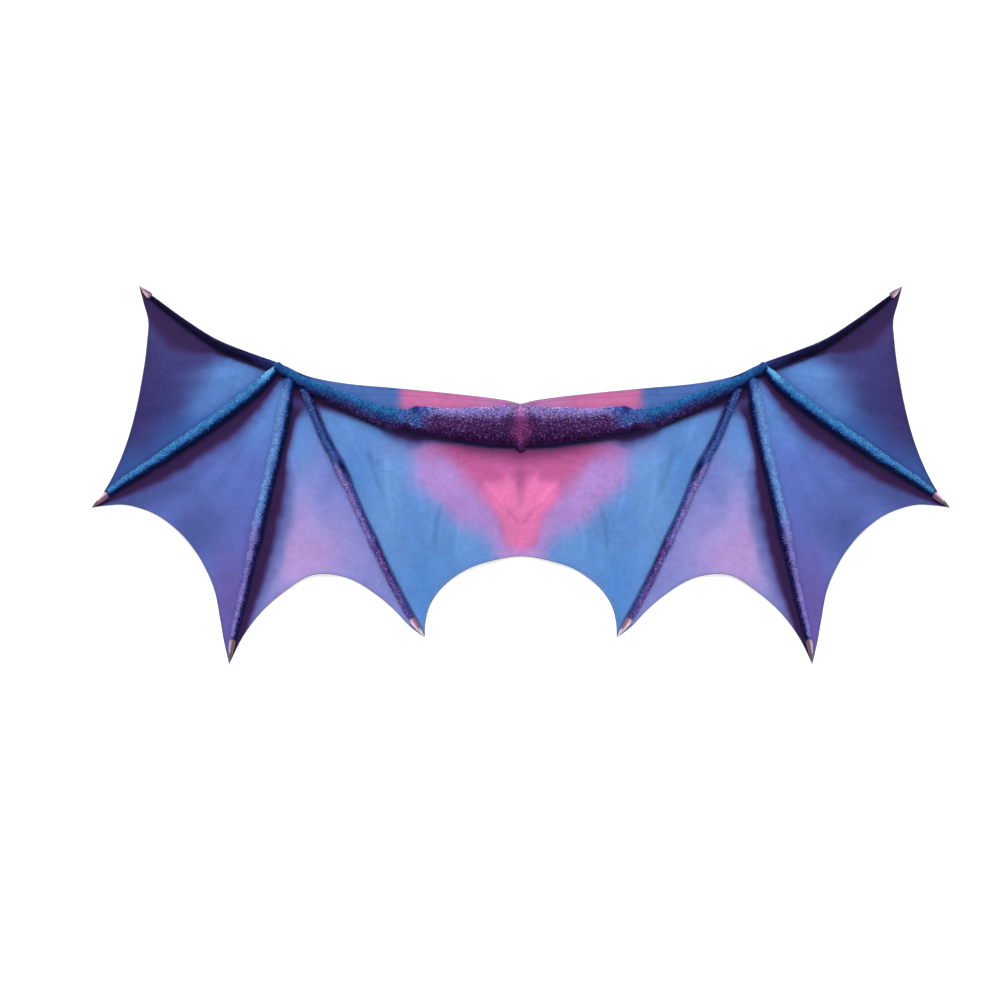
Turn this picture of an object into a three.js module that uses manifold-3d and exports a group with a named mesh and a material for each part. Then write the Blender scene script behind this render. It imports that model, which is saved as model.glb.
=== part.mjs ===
// Costume dragon wings: a pair in one piece, spread out and lying face up.
//
// Seven cloth panels meet in seams. Padded ribs lie over the seams and along the upper edge: on each side
// an upper arm, a forearm and four fingers, with a spine knuckle where the two arms meet. Each finger ends
// in a claw over a point of the cloth, and two elastic bands behind the back panel take the wearer's arms.
//
// Millimetres. +X runs along the span, +Y towards the neckline and +Z up, out of the printed face. The
// origin is the middle of the wings, on the surface that they lie on.

import * as THREE from 'three';
import { mergeVertices } from 'three/addons/utils/BufferGeometryUtils.js';
import Module from 'manifold-3d';

const wasm = await Module();
wasm.setup();

// Driving dimensions.
const WING_SPAN = 1680;
const WING_HEIGHT = 740;
const PIECE_GAP = 0.3; // between pieces that touch or are sewn together

const CLOTH_THICKNESS = 1.6;
const CLOTH_LIFT = 12; // how high the cloth billows between the ribs
const LIFT_REACH = 110; // how far from a rib's edge the cloth gets to that height
const FLAT_MARGIN = 8; // cloth held flat beside a rib's edge
const HEM_LIFT_SHARE = 0.35; // what is left of the billow at a free edge
const HEM_LIFT_START = 0.6; // where it starts to die away, from the wrist out
const EDGE_TRIM = 1.5; // cloth cut off the tip panel where the leading edge meets the neckline
const SEAM_TRIM = 8; // cloth cut off the other panels where the third and fourth seams reach the wrist

const UPPER_ARM_WIDTH = 79;
const UPPER_ARM_HEIGHT = 46;
const FOREARM_WIDTH = 43;
const FOREARM_HEIGHT = 26;
const SPINE_WIDTH = 56;
const SPINE_HEIGHT = 49;
const FINGER_WIDTH = 26; // the second finger's; the others are shares of it
const FINGER_HEIGHT = 17;
const CLAW_LENGTH = 50; // the third claw's
const CLAW_WIDTH = 15;
const CLAW_HEIGHT = 11;

const BAND_WIDTH = 25;
const BAND_THICKNESS = 1.2;
const BAND_LENGTH = 170;
const BAND_SPACING = 260; // between the middles of the two bands
const BAND_CLEARANCE = 0.6; // under the billowing cloth
const BAND_DROP = 46; // from the upper arm's edge to the band's upper end

// A place in the wing's plan: shares of half the span, outwards, and of the height, upwards.
const NOTCH = [0.0, 0.689];
const WRIST = [0.569, 0.799];
const TIP_1 = [0.89, 1.0];
const TIP_2 = [1.0, 0.414];
const TIP_3 = [0.68, 0.0];
const TIP_4 = [0.224, 0.07];
const HEM_MIDDLE = [0.0, 0.285];

const NECKLINE = [
  NOTCH, [0.025, 0.696], [0.076, 0.705], [0.188, 0.719], [0.3, 0.731], [0.398, 0.741],
  [0.468, 0.754], [0.506, 0.766], [0.543, 0.786], WRIST,
];
const LEADING_EDGE = [WRIST, [0.636, 0.826], [0.711, 0.861], [0.785, 0.914], [0.841, 0.96], TIP_1];
const OUTER_EDGE = [
  TIP_1, [0.88, 0.957], [0.869, 0.909], [0.871, 0.856], [0.881, 0.765], [0.9, 0.658],
  [0.93, 0.551], [0.967, 0.465], TIP_2,
];
const OUTER_HEM = [
  TIP_2, [0.967, 0.419], [0.925, 0.421], [0.888, 0.412], [0.841, 0.389], [0.785, 0.337],
  [0.743, 0.27], [0.715, 0.198], [0.701, 0.118], [0.692, 0.059], TIP_3,
];
const INNER_HEM = [
  TIP_3, [0.648, 0.072], [0.603, 0.139], [0.543, 0.198], [0.492, 0.233], [0.45, 0.238],
  [0.394, 0.223], [0.338, 0.184], [0.296, 0.144], [0.258, 0.099], TIP_4,
];
const BACK_HEM = [
  TIP_4, [0.222, 0.111], [0.21, 0.159], [0.181, 0.205], [0.128, 0.249], [0.074, 0.271], HEM_MIDDLE,
];

// The ribs' middle lines, from root to point.
const FINGER_1_ROUTE = [[0.568, 0.785], [0.636, 0.813], [0.697, 0.838], [0.75, 0.874], [0.832, 0.943], TIP_1];
const FINGER_2_ROUTE = [
  [0.566, 0.793], [0.59, 0.757], [0.68, 0.671], [0.795, 0.579], [0.872, 0.521], [0.946, 0.465], TIP_2,
];
const FINGER_3_ROUTE = [
  [0.535, 0.765], [0.54, 0.738], [0.551, 0.668], [0.566, 0.583], [0.59, 0.473], [0.622, 0.313],
  [0.648, 0.179], [0.669, 0.075], TIP_3,
];
const FINGER_4_ROUTE = [
  [0.515, 0.754], [0.503, 0.722], [0.457, 0.596], [0.419, 0.513], [0.375, 0.398], [0.34, 0.313],
  [0.307, 0.233], [0.261, 0.134], TIP_4,
];
const FOREARM_ROUTE = [
  [0.572, 0.789], [0.538, 0.762], [0.492, 0.734], [0.445, 0.713], [0.398, 0.691], [0.352, 0.668],
  [0.305, 0.651], [0.262, 0.647],
];
const UPPER_ARM_ROUTE = [
  [0.274, 0.652], [0.207, 0.643], [0.165, 0.636], [0.104, 0.632], [0.048, 0.63], [-0.01, 0.63],
];
const SPINE_ROUTE = [[0.0, 0.687], [0.0, 0.63], [0.0, 0.559]];

// A rib's sections from root to end. The columns are shares of the rib's length, width and height.
const [ALONG, ACROSS] = [0, 1];
const FINGER_1_SECTIONS = [
  [0, 0.86, 0.8], [0.06, 1, 1], [0.3, 0.9, 1], [0.4, 0.8, 0.96], [0.55, 0.66, 0.84], [0.8, 0.55, 0.72],
  [0.95, 0.52, 0.66], [1, 0.5, 0.54],
];
const FINGER_2_SECTIONS = [
  [0, 0.56, 0.56], [0.04, 0.76, 0.82], [0.14, 0.96, 1], [0.32, 1, 1], [0.5, 1.02, 1], [0.68, 0.92, 0.94],
  [0.84, 0.78, 0.82], [0.96, 0.64, 0.7], [1, 0.52, 0.52],
];
const FINGER_3_SECTIONS = [
  [0, 0.9, 0.8], [0.05, 1, 0.94], [0.2, 1.04, 1], [0.36, 0.98, 0.98], [0.52, 0.94, 0.94], [0.6, 1.04, 1.06],
  [0.63, 0.98, 1], [0.66, 0.8, 0.84], [0.8, 0.72, 0.78], [0.97, 0.56, 0.62], [1, 0.46, 0.46],
];
const FINGER_4_SECTIONS = [
  [0, 0.9, 0.8], [0.06, 0.92, 0.94], [0.2, 0.88, 1], [0.32, 0.88, 1], [0.375, 1.06, 1.16], [0.41, 1, 1.06],
  [0.45, 0.76, 0.88], [0.6, 0.72, 0.86], [0.68, 0.86, 0.98], [0.72, 0.74, 0.84], [0.86, 0.74, 0.8],
  [0.97, 0.66, 0.72], [1, 0.56, 0.56],
];
const FOREARM_SECTIONS = [
  [0, 0.5, 0.5], [0.1, 0.56, 0.62], [0.25, 0.62, 0.7], [0.42, 0.7, 0.8], [0.6, 0.78, 0.9], [0.78, 0.88, 1],
  [0.92, 1, 1], [1, 0.94, 0.9],
];
const UPPER_ARM_SECTIONS = [
  [0, 0.32, 0.3], [0.03, 0.54, 0.5], [0.09, 0.67, 0.62], [0.2, 0.69, 0.66], [0.36, 0.74, 0.74],
  [0.52, 0.86, 0.84], [0.7, 0.96, 0.95], [0.86, 1, 1], [1, 1, 0.98],
];
const SPINE_SECTIONS = [
  [0, 0.3, 0.5], [0.1, 0.5, 0.8], [0.28, 0.86, 1], [0.45, 1, 1], [0.62, 0.84, 0.97], [0.76, 0.52, 0.84],
  [0.87, 0.42, 0.6], [0.95, 0.36, 0.44], [1, 0.2, 0.2],
];
const CLAW_SECTIONS = [
  [0, 0.82, 0.78], [0.1, 1, 1], [0.3, 0.9, 0.94], [0.55, 0.64, 0.7], [0.8, 0.34, 0.4], [1, 0.05, 0.07],
];

const FINGERS = [
  {
    name: 'finger_1', claw: 'claw_1', route: FINGER_1_ROUTE, sections: FINGER_1_SECTIONS,
    width: 0.77 * FINGER_WIDTH, height: 0.76 * FINGER_HEIGHT,
    clawLength: 0.64 * CLAW_LENGTH, clawWidth: 0.87 * CLAW_WIDTH, clawHeight: 0.82 * CLAW_HEIGHT,
    color: 0x231a4a,
  },
  {
    name: 'finger_2', claw: 'claw_2', route: FINGER_2_ROUTE, sections: FINGER_2_SECTIONS,
    width: FINGER_WIDTH, height: FINGER_HEIGHT,
    clawLength: 0.84 * CLAW_LENGTH, clawWidth: CLAW_WIDTH, clawHeight: CLAW_HEIGHT, color: 0x2a6fa8,
  },
  {
    name: 'finger_3', claw: 'claw_3', route: FINGER_3_ROUTE, sections: FINGER_3_SECTIONS,
    width: 0.96 * FINGER_WIDTH, height: FINGER_HEIGHT,
    clawLength: CLAW_LENGTH, clawWidth: 0.87 * CLAW_WIDTH, clawHeight: 0.91 * CLAW_HEIGHT, color: 0x6d86c8,
  },
  {
    name: 'finger_4', claw: 'claw_4', route: FINGER_4_ROUTE, sections: FINGER_4_SECTIONS,
    width: 0.81 * FINGER_WIDTH, height: 0.88 * FINGER_HEIGHT,
    clawLength: 0.92 * CLAW_LENGTH, clawWidth: 0.93 * CLAW_WIDTH, clawHeight: CLAW_HEIGHT, color: 0x5a4486,
  },
];

// A rib's cross-section is a loaf: a round top that tucks in to a flat sewn base.
const LOAF_POINTS = 11;
const LOAF_TUCK = THREE.MathUtils.degToRad(35);
const FAN_STEPS = 12; // cloth cells from the wrist to the hem
const FAN_COLUMNS = 11;
const BACK_TOP_STEPS = 2; // cells of the back panel above the fourth seam's start; below they match the fan's
const BACK_STEPS = BACK_TOP_STEPS + FAN_STEPS;
const BACK_COLUMNS = 32;
const BAND_STEPS = 9;
const ROUTE_SAMPLES = 40; // circles that stand for a rib when the cloth's distance from it is measured

const CLOTH_TOP = CLOTH_THICKNESS + PIECE_GAP; // where a rib's base lies on flat cloth

function place([across, up]) {
  return new THREE.Vector3((across * WING_SPAN) / 2, (up - 0.5) * WING_HEIGHT, 0);
}

function curveThrough(points) {
  return new THREE.CatmullRomCurve3(points.map(place), false, 'centripetal');
}

// The part of a curve between two lengths from its start, as a function of a share from 0 to 1.
function stretchOf(curve, from, to) {
  const length = curve.getLength();
  return (share) => {
    const at = THREE.MathUtils.clamp((from + (to - from) * share) / length, 0, 1);
    return { point: curve.getPointAt(at), tangent: curve.getTangentAt(at) };
  };
}

// A height or width read from a table of sections at any share of the length.
function readSections(sections, share, column) {
  const after = Math.max(1, sections.findIndex((section) => section[ALONG] >= share));
  const [low, high] = [sections[after - 1], sections[after]];
  const between = (share - low[ALONG]) / (high[ALONG] - low[ALONG]);
  return THREE.MathUtils.lerp(low[column], high[column], THREE.MathUtils.clamp(between, 0, 1));
}

// The signed volume tells whether the faces point out; a mirrored or reversed surface is turned round.
function facingOut(points, triangles) {
  const [a, b, c] = [new THREE.Vector3(), new THREE.Vector3(), new THREE.Vector3()];
  let volume = 0;
  for (const [i, j, k] of triangles) {
    volume += a.copy(points[i]).dot(b.copy(points[j]).cross(c.copy(points[k])));
  }
  const turned = volume < 0 ? triangles.map(([i, j, k]) => [i, k, j]) : triangles;
  return new THREE.BufferGeometry().setFromPoints(points).setIndex(turned.flat());
}

// A closed skin through rings of points, with a fan over each end.
function loft(rings) {
  const around = rings[0].length;
  const points = rings.flat();
  const triangles = [];
  for (let ring = 0; ring + 1 < rings.length; ring += 1) {
    for (let i = 0; i < around; i += 1) {
      const [a, b] = [ring * around + i, ring * around + ((i + 1) % around)];
      triangles.push([a, b, b + around], [a, b + around, a + around]);
    }
  }
  const lastRing = (rings.length - 1) * around;
  for (const [start, flip] of [[0, true], [lastRing, false]]) {
    const middle = new THREE.Vector3();
    for (let i = 0; i < around; i += 1) middle.addScaledVector(points[start + i], 1 / around);
    points.push(middle);
    for (let i = 0; i < around; i += 1) {
      const [a, b] = [start + i, start + ((i + 1) % around)];
      triangles.push(flip ? [b, a, points.length - 1] : [a, b, points.length - 1]);
    }
  }
  return facingOut(points, triangles);
}

// A padded rib along a stretch of its route. A grown copy, larger all round, cuts a seat in its neighbours.
function ribGeometry({ stretch, sections, width, height, length }, grow = 0) {
  const rings = sections.map(([along, widthShare, heightShare], index) => {
    const { point, tangent } = stretch(along);
    const outwards = new THREE.Vector3(-tangent.y, tangent.x, 0).normalize();
    const past = index === 0 ? -grow : index === sections.length - 1 ? grow : 0;
    const middle = point.clone().addScaledVector(tangent, past);
    const halfWidth = (width * widthShare) / 2 + grow;
    const rise = (height * heightShare + 2 * grow) / (1 + Math.sin(LOAF_TUCK));
    return Array.from({ length: LOAF_POINTS }, (_, i) => {
      const angle = THREE.MathUtils.lerp(-LOAF_TUCK, Math.PI + LOAF_TUCK, i / (LOAF_POINTS - 1));
      const lift = CLOTH_TOP - grow + rise * (Math.sin(LOAF_TUCK) + Math.sin(angle));
      return middle.clone().addScaledVector(outwards, halfWidth * Math.cos(angle)).setZ(lift);
    });
  });
  return loft(rings);
}

function ribAlong(points, sections, width, height, cutOff = 0) {
  const curve = curveThrough(points);
  const length = curve.getLength() - cutOff;
  return { curve, stretch: stretchOf(curve, 0, length), sections, width, height, length };
}

function clawBeyond(finger, rib) {
  const whole = rib.curve.getLength();
  return {
    stretch: stretchOf(rib.curve, rib.length + PIECE_GAP, whole),
    sections: CLAW_SECTIONS,
    width: finger.clawWidth,
    height: finger.clawHeight,
  };
}

// Circles along every rib, that the cloth under it keeps flat.
function heldPlaces(ribs) {
  return ribs.flatMap(({ stretch, sections, width }) =>
    Array.from({ length: ROUTE_SAMPLES + 1 }, (_, i) => {
      const share = i / ROUTE_SAMPLES;
      return { at: stretch(share).point, radius: (width * readSections(sections, share, ACROSS)) / 2 };
    }),
  );
}

// How high the cloth's underside lies: nothing under a rib, and a smooth rise to the full billow.
function billow(held, point) {
  const away = ({ at }, side) => Math.hypot(point.x - side * at.x, point.y - at.y);
  const fromEdge = Math.min(...held.map((spot) => Math.min(away(spot, 1), away(spot, -1)) - spot.radius));
  const share = THREE.MathUtils.clamp((fromEdge - FLAT_MARGIN) / LIFT_REACH, 0, 1);
  return (CLOTH_LIFT * (1 - Math.cos(Math.PI * share))) / 2;
}

function hemFade(share) {
  return 1 - (1 - HEM_LIFT_SHARE) * THREE.MathUtils.smoothstep(share, HEM_LIFT_START, 1);
}

// A sheet of even thickness over a grid of points on its underside.
function sheetGeometry(grid, thickness) {
  const [rows, columns] = [grid.length, grid[0].length];
  const under = grid.flat();
  const points = [...under, ...under.map((p) => p.clone().setZ(p.z + thickness))];
  const at = (row, column, layer) => layer * rows * columns + row * columns + column;
  const triangles = [];
  const addQuad = (a, b, c, d) => triangles.push([a, b, c], [a, c, d]);
  for (let r = 0; r + 1 < rows; r += 1) {
    for (let c = 0; c + 1 < columns; c += 1) {
      addQuad(at(r, c, 0), at(r, c + 1, 0), at(r + 1, c + 1, 0), at(r + 1, c, 0));
      addQuad(at(r, c, 1), at(r + 1, c, 1), at(r + 1, c + 1, 1), at(r, c + 1, 1));
    }
  }
  for (let c = 0; c + 1 < columns; c += 1) {
    addQuad(at(0, c, 0), at(0, c, 1), at(0, c + 1, 1), at(0, c + 1, 0));
    addQuad(at(rows - 1, c, 0), at(rows - 1, c + 1, 0), at(rows - 1, c + 1, 1), at(rows - 1, c, 1));
  }
  for (let r = 0; r + 1 < rows; r += 1) {
    addQuad(at(r, 0, 0), at(r + 1, 0, 0), at(r + 1, 0, 1), at(r, 0, 1));
    const last = columns - 1;
    addQuad(at(r, last, 0), at(r, last, 1), at(r + 1, last, 1), at(r + 1, last, 0));
  }
  return facingOut(points, triangles);
}

// A four-sided patch between two side curves, an inner edge and a hem, as even as its sides allow.
function patchGrid(sideA, sideB, inner, hem, rows, columns) {
  const corner = { a0: sideA(0), b0: sideB(0), a1: sideA(1), b1: sideB(1) };
  return Array.from({ length: rows + 1 }, (_, r) => {
    const s = r / rows;
    return Array.from({ length: columns + 1 }, (_, c) => {
      const t = c / columns;
      return new THREE.Vector3()
        .addScaledVector(sideA(s), 1 - t)
        .addScaledVector(sideB(s), t)
        .addScaledVector(inner(t), 1 - s)
        .addScaledVector(hem(t), s)
        .addScaledVector(corner.a0, -(1 - s) * (1 - t))
        .addScaledVector(corner.b0, -(1 - s) * t)
        .addScaledVector(corner.a1, -s * (1 - t))
        .addScaledVector(corner.b1, -s * t);
    });
  });
}

// A curve moved sideways by half a seam's gap, so that panels meet without touching.
function seamSide(curve, side, trim = 0) {
  const stretch = stretchOf(curve, trim, curve.getLength());
  return (share) => {
    const { point, tangent } = stretch(share);
    return point.addScaledVector(new THREE.Vector3(-tangent.y, tangent.x, 0), (side * PIECE_GAP) / 2);
  };
}

function straight(from, to) {
  return (share) => from.clone().lerp(to, share);
}

// A hem whose ends are moved on to the ends of its panel's two sides.
function hemBetween(curve, from, to) {
  const [slipFrom, slipTo] = [from.clone().sub(curve.getPointAt(0)), to.clone().sub(curve.getPointAt(1))];
  return (share) =>
    curve.getPointAt(share).addScaledVector(slipFrom, 1 - share).addScaledVector(slipTo, share);
}

function panelBetween(sideA, sideB, hemPoints, held) {
  const hem = hemBetween(curveThrough(hemPoints), sideA(1), sideB(1));
  const grid = patchGrid(sideA, sideB, straight(sideA(0), sideB(0)), hem, FAN_STEPS, FAN_COLUMNS);
  grid.forEach((row, r) => row.forEach((p) => p.setZ(billow(held, p) * hemFade(r / FAN_STEPS))));
  return sheetGeometry(grid, CLOTH_THICKNESS);
}

function acrossMiddle(points) {
  const mirror = points.map(([across, up]) => [-across, up]);
  return [...mirror.reverse(), ...points.slice(1)];
}

// The fourth seam, carried on straight up to the wrist.
function backSide(seam, wrist) {
  const top = BACK_TOP_STEPS / BACK_STEPS;
  const aboveSeam = straight(wrist, seam(0));
  return (share) => (share < top ? aboveSeam(share / top) : seam((share - top) / (1 - top)));
}

// The back panel runs from one wrist to the other, under both arms, and down to the middle hem.
function backGrid(seam, held) {
  const right = backSide(seam, place(WRIST));
  const left = (share) => right(share).multiply(new THREE.Vector3(-1, 1, 1));
  const neckline = hemBetween(curveThrough(acrossMiddle(NECKLINE)), left(0), right(0));
  const hem = hemBetween(curveThrough(acrossMiddle([...BACK_HEM].reverse())), left(1), right(1));
  const grid = patchGrid(left, right, neckline, hem, BACK_STEPS, BACK_COLUMNS);
  grid.forEach((row, r) => row.forEach((p) => p.setZ(billow(held, p) * hemFade(r / BACK_STEPS))));
  return grid;
}

// The height of a gridded sheet's underside above a place in the plan.
function heightOver(grid, x, y) {
  const spot = new THREE.Vector3(x, y, 0);
  const weights = new THREE.Vector3();
  for (let r = 0; r + 1 < grid.length; r += 1) {
    for (let c = 0; c + 1 < grid[r].length; c += 1) {
      const [a, b, d, e] = [grid[r][c], grid[r][c + 1], grid[r + 1][c + 1], grid[r + 1][c]];
      for (const corners of [[a, b, d], [a, d, e]]) {
        THREE.Triangle.getBarycoord(spot, ...corners.map((p) => p.clone().setZ(0)), weights);
        const heights = new THREE.Vector3(...corners.map((p) => p.z));
        if (Math.min(...weights) >= -1e-9) return weights.dot(heights);
      }
    }
  }
  throw new Error(`no cloth over ${x}, ${y}`);
}

// An elastic band sewn behind the back panel, close under the billowing cloth.
function armBand(cloth) {
  const middle = BAND_SPACING / 2;
  const top = place(UPPER_ARM_ROUTE.at(-2)).y - UPPER_ARM_WIDTH / 2 - BAND_DROP;
  const grid = Array.from({ length: BAND_STEPS + 1 }, (_, r) =>
    [-1, 0, 1].map((side) => {
      const [x, y] = [middle + (side * BAND_WIDTH) / 2, top - (BAND_LENGTH * r) / BAND_STEPS];
      return new THREE.Vector3(x, y, heightOver(cloth, x, y) - BAND_CLEARANCE - BAND_THICKNESS);
    }),
  );
  return sheetGeometry(grid, BAND_THICKNESS);
}

function solidOf(geometry) {
  const bare = geometry.clone();
  bare.deleteAttribute('normal');
  bare.deleteAttribute('uv');
  const merged = mergeVertices(bare, 1e-4);
  return new wasm.Manifold(
    new wasm.Mesh({
      numProp: 3,
      vertProperties: new Float32Array(merged.attributes.position.array),
      triVerts: new Uint32Array(merged.index.array),
    }),
  );
}

function geometryOf(solid) {
  const mesh = solid.getMesh();
  return new THREE.BufferGeometry()
    .setAttribute('position', new THREE.BufferAttribute(new Float32Array(mesh.vertProperties), 3))
    .setIndex(new THREE.BufferAttribute(new Uint32Array(mesh.triVerts), 1));
}

// A rib cut back to fit against its neighbours, with the usual gap.
function cutBack(rib, ...neighbours) {
  const cutters = neighbours.map((neighbour) => solidOf(ribGeometry(neighbour, PIECE_GAP)));
  return geometryOf(cutters.reduce((left, cutter) => left.subtract(cutter), solidOf(ribGeometry(rib))));
}

// The right upper arm stops at the middle of the wings and is cut back to the knuckle that lies over it.
function cutUpperArm(upperArm, spine) {
  const seat = ribGeometry(spine, PIECE_GAP);
  const arm = solidOf(ribGeometry(upperArm)).trimByPlane([1, 0, 0], PIECE_GAP / 2);
  return geometryOf(arm.subtract(solidOf(seat)).subtract(solidOf(mirrored(seat))));
}

function mirrored(geometry) {
  const copy = geometry.clone().applyMatrix4(new THREE.Matrix4().makeScale(-1, 1, 1));
  const index = Array.from(copy.index.array);
  for (let i = 0; i < index.length; i += 3) [index[i + 1], index[i + 2]] = [index[i + 2], index[i + 1]];
  return copy.setIndex(index);
}

function finish(color, roughness, metalness = 0) {
  return new THREE.MeshStandardMaterial({ color, roughness, metalness });
}

function addPiece(group, name, geometry, material) {
  const mesh = new THREE.Mesh(geometry, material);
  mesh.name = name;
  group.add(mesh);
}

function addPair(group, name, geometry, material) {
  addPiece(group, `${name}_right`, geometry, material);
  addPiece(group, `${name}_left`, mirrored(geometry), material);
}

function dragonWings() {
  const wings = new THREE.Group();
  const [leading, second, third, fourth] = FINGERS.map((finger) => ({
    ...finger,
    rib: ribAlong(finger.route, finger.sections, finger.width, finger.height, finger.clawLength),
  }));
  const fingers = [leading, second, third, fourth];
  const forearm = ribAlong(FOREARM_ROUTE, FOREARM_SECTIONS, FOREARM_WIDTH, FOREARM_HEIGHT);
  const upperArm = ribAlong(UPPER_ARM_ROUTE, UPPER_ARM_SECTIONS, UPPER_ARM_WIDTH, UPPER_ARM_HEIGHT);
  const spine = ribAlong(SPINE_ROUTE, SPINE_SECTIONS, SPINE_WIDTH, SPINE_HEIGHT);
  const claws = fingers.map((finger) => clawBeyond(finger, finger.rib));
  const held = heldPlaces([...fingers.map(({ rib }) => rib), ...claws, forearm, upperArm, spine]);

  const printedCloth = finish(0x5b7fcb, 0.75);
  const seams = fingers.map(({ route }) => curveThrough(route));
  const edge = curveThrough(LEADING_EDGE);
  const leadingSide = (share) => stretchOf(edge, EDGE_TRIM, edge.getLength())(share).point;
  const secondSeam = (side) => seamSide(seams[1], side);
  const thirdSeam = (side) => seamSide(seams[2], side, SEAM_TRIM);
  const fourthSeam = (side) => seamSide(seams[3], side, SEAM_TRIM);
  const darkCloth = finish(0x443c86, 0.75);
  addPair(wings, 'tip_panel', panelBetween(leadingSide, secondSeam(1), OUTER_EDGE, held), darkCloth);
  addPair(wings, 'outer_panel', panelBetween(secondSeam(-1), thirdSeam(1), OUTER_HEM, held), printedCloth);
  addPair(wings, 'inner_panel', panelBetween(thirdSeam(-1), fourthSeam(1), INNER_HEM, held), printedCloth);
  const back = backGrid(fourthSeam(-1), held);
  addPiece(wings, 'back_panel', sheetGeometry(back, CLOTH_THICKNESS), finish(0x7f8cd0, 0.75));

  addPair(wings, leading.name, cutBack(leading.rib, second.rib, forearm), finish(leading.color, 0.85));
  addPair(wings, second.name, ribGeometry(second.rib), finish(second.color, 0.85));
  addPair(wings, third.name, cutBack(third.rib, forearm, second.rib), finish(third.color, 0.85));
  addPair(wings, fourth.name, cutBack(fourth.rib, forearm, third.rib), finish(fourth.color, 0.85));
  addPair(wings, 'forearm', cutBack(forearm, second.rib, upperArm), finish(0x24588c, 0.85));
  addPair(wings, 'upper_arm', cutUpperArm(upperArm, spine), finish(0x4a3470, 0.85));
  addPiece(wings, 'spine_knuckle', ribGeometry(spine), finish(0x7a2a62, 0.85));
  fingers.forEach(({ claw }, i) => addPair(wings, claw, ribGeometry(claws[i]), finish(0xcf9fae, 0.4)));
  addPair(wings, 'arm_band', armBand(back), finish(0x2a2440, 0.9));
  return wings;
}

export default dragonWings();
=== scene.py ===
# %% [markdown]
# # Costume dragon wings, spread out face up
#
# The object is one flat costume piece: seven panels of dyed cloth, stretched between padded ribs that are
# covered in looped pile, with a hard claw over each of the eight points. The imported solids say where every
# piece is. This lesson makes the surfaces that show: cloth with folds, hems and stitches, ribs with their
# pile, claws and the two elastic bands at the back.
#
# Everything is in metres in the solids' own frame: X along the span, Y towards the neckline, Z up.

# %% load the frame
import math

import bpy
import numpy as np
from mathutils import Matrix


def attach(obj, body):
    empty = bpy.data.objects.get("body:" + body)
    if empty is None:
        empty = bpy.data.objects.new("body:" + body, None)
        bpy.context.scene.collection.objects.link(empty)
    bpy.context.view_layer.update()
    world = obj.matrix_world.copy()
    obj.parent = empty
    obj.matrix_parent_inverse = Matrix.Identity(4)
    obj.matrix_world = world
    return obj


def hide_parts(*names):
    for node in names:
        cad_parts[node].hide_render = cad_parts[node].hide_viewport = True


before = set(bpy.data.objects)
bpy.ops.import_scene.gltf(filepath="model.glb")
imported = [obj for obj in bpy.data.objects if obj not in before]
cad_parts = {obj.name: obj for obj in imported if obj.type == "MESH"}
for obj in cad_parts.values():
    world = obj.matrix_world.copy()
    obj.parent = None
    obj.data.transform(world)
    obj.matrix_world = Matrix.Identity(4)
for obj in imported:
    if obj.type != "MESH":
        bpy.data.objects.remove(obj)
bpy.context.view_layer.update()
rng = np.random.default_rng(20)

# %% [markdown]
# ## Camera and light
#
# The wings are pictured straight on, so the camera hangs over them and looks straight down. A long lens far
# away keeps the thick ribs from leaning outwards. It stands a little off the middle, because the wings are
# not in the middle of their picture. The light is a broad soft sun from the neckline's side, which catches
# the upper side of every rib, over an even white surrounding that fills the shadows.

# %% camera
WING_SPAN = 1.68
WING_HEIGHT = 0.74
PICTURE_SIDE = 1000  # pixels
SPAN_IN_PICTURE = 857.5
MIDDLE_IN_PICTURE = (520.75, 475.0)
CAMERA_HEIGHT = 4.5

pixel = WING_SPAN / SPAN_IN_PICTURE
camera_data = bpy.data.cameras.new("camera")
camera_data.sensor_width = 36.0
camera_data.lens = camera_data.sensor_width * CAMERA_HEIGHT / (PICTURE_SIDE * pixel)
camera = bpy.data.objects.new("camera", camera_data)
camera.location = (
    (PICTURE_SIDE / 2 - MIDDLE_IN_PICTURE[0]) * pixel,
    (MIDDLE_IN_PICTURE[1] - PICTURE_SIDE / 2) * pixel,
    CAMERA_HEIGHT,
)
bpy.context.collection.objects.link(camera)
bpy.context.scene.camera = camera
print("lens", round(camera_data.lens, 1), "mm, one pixel is", round(pixel * 1000, 3), "mm")

# %% light and floor
SUN_ENERGY = 1.9
SUN_SOFTNESS = 28  # degrees across
SUN_LEAN = -46  # degrees about X, so that the light comes from the neckline's side
SKY_STRENGTH = 0.66
FLOOR_HALF = 12.0
FLOOR_GREY = (0.93, 0.93, 0.93, 1)
FLOOR_GLOW = 0.35

scene = bpy.context.scene
scene.view_settings.view_transform = "Standard"

sun_data = bpy.data.lights.new("soft_sun", "SUN")
sun_data.energy = SUN_ENERGY
sun_data.angle = math.radians(SUN_SOFTNESS)
sun = bpy.data.objects.new("soft_sun", sun_data)
sun.rotation_euler = (math.radians(SUN_LEAN), 0, 0)
bpy.context.collection.objects.link(sun)

world = bpy.data.worlds.new("studio")
world.use_nodes = True
world.node_tree.nodes["Background"].inputs["Color"].default_value = (1, 1, 1, 1)
world.node_tree.nodes["Background"].inputs["Strength"].default_value = SKY_STRENGTH
scene.world = world


def fill(node, inputs):
    """Fills a node's inputs: a link where the value is another node's output, a constant otherwise."""
    for socket, value in inputs.items():
        if isinstance(value, bpy.types.NodeSocket):
            node.id_data.links.new(value, node.inputs[socket])
        else:
            node.inputs[socket].default_value = value


def new_material(name):
    """A material, a short way to add nodes to it, add(type, inputs, **settings), and its shader."""
    material = bpy.data.materials.new(name)
    material.use_nodes = True
    tree = material.node_tree

    def add(kind, inputs, **settings):
        node = tree.nodes.new(kind)
        for key, value in settings.items():
            setattr(node, key, value)
        fill(node, inputs)
        return node

    return material, add, tree.nodes["Principled BSDF"]


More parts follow.
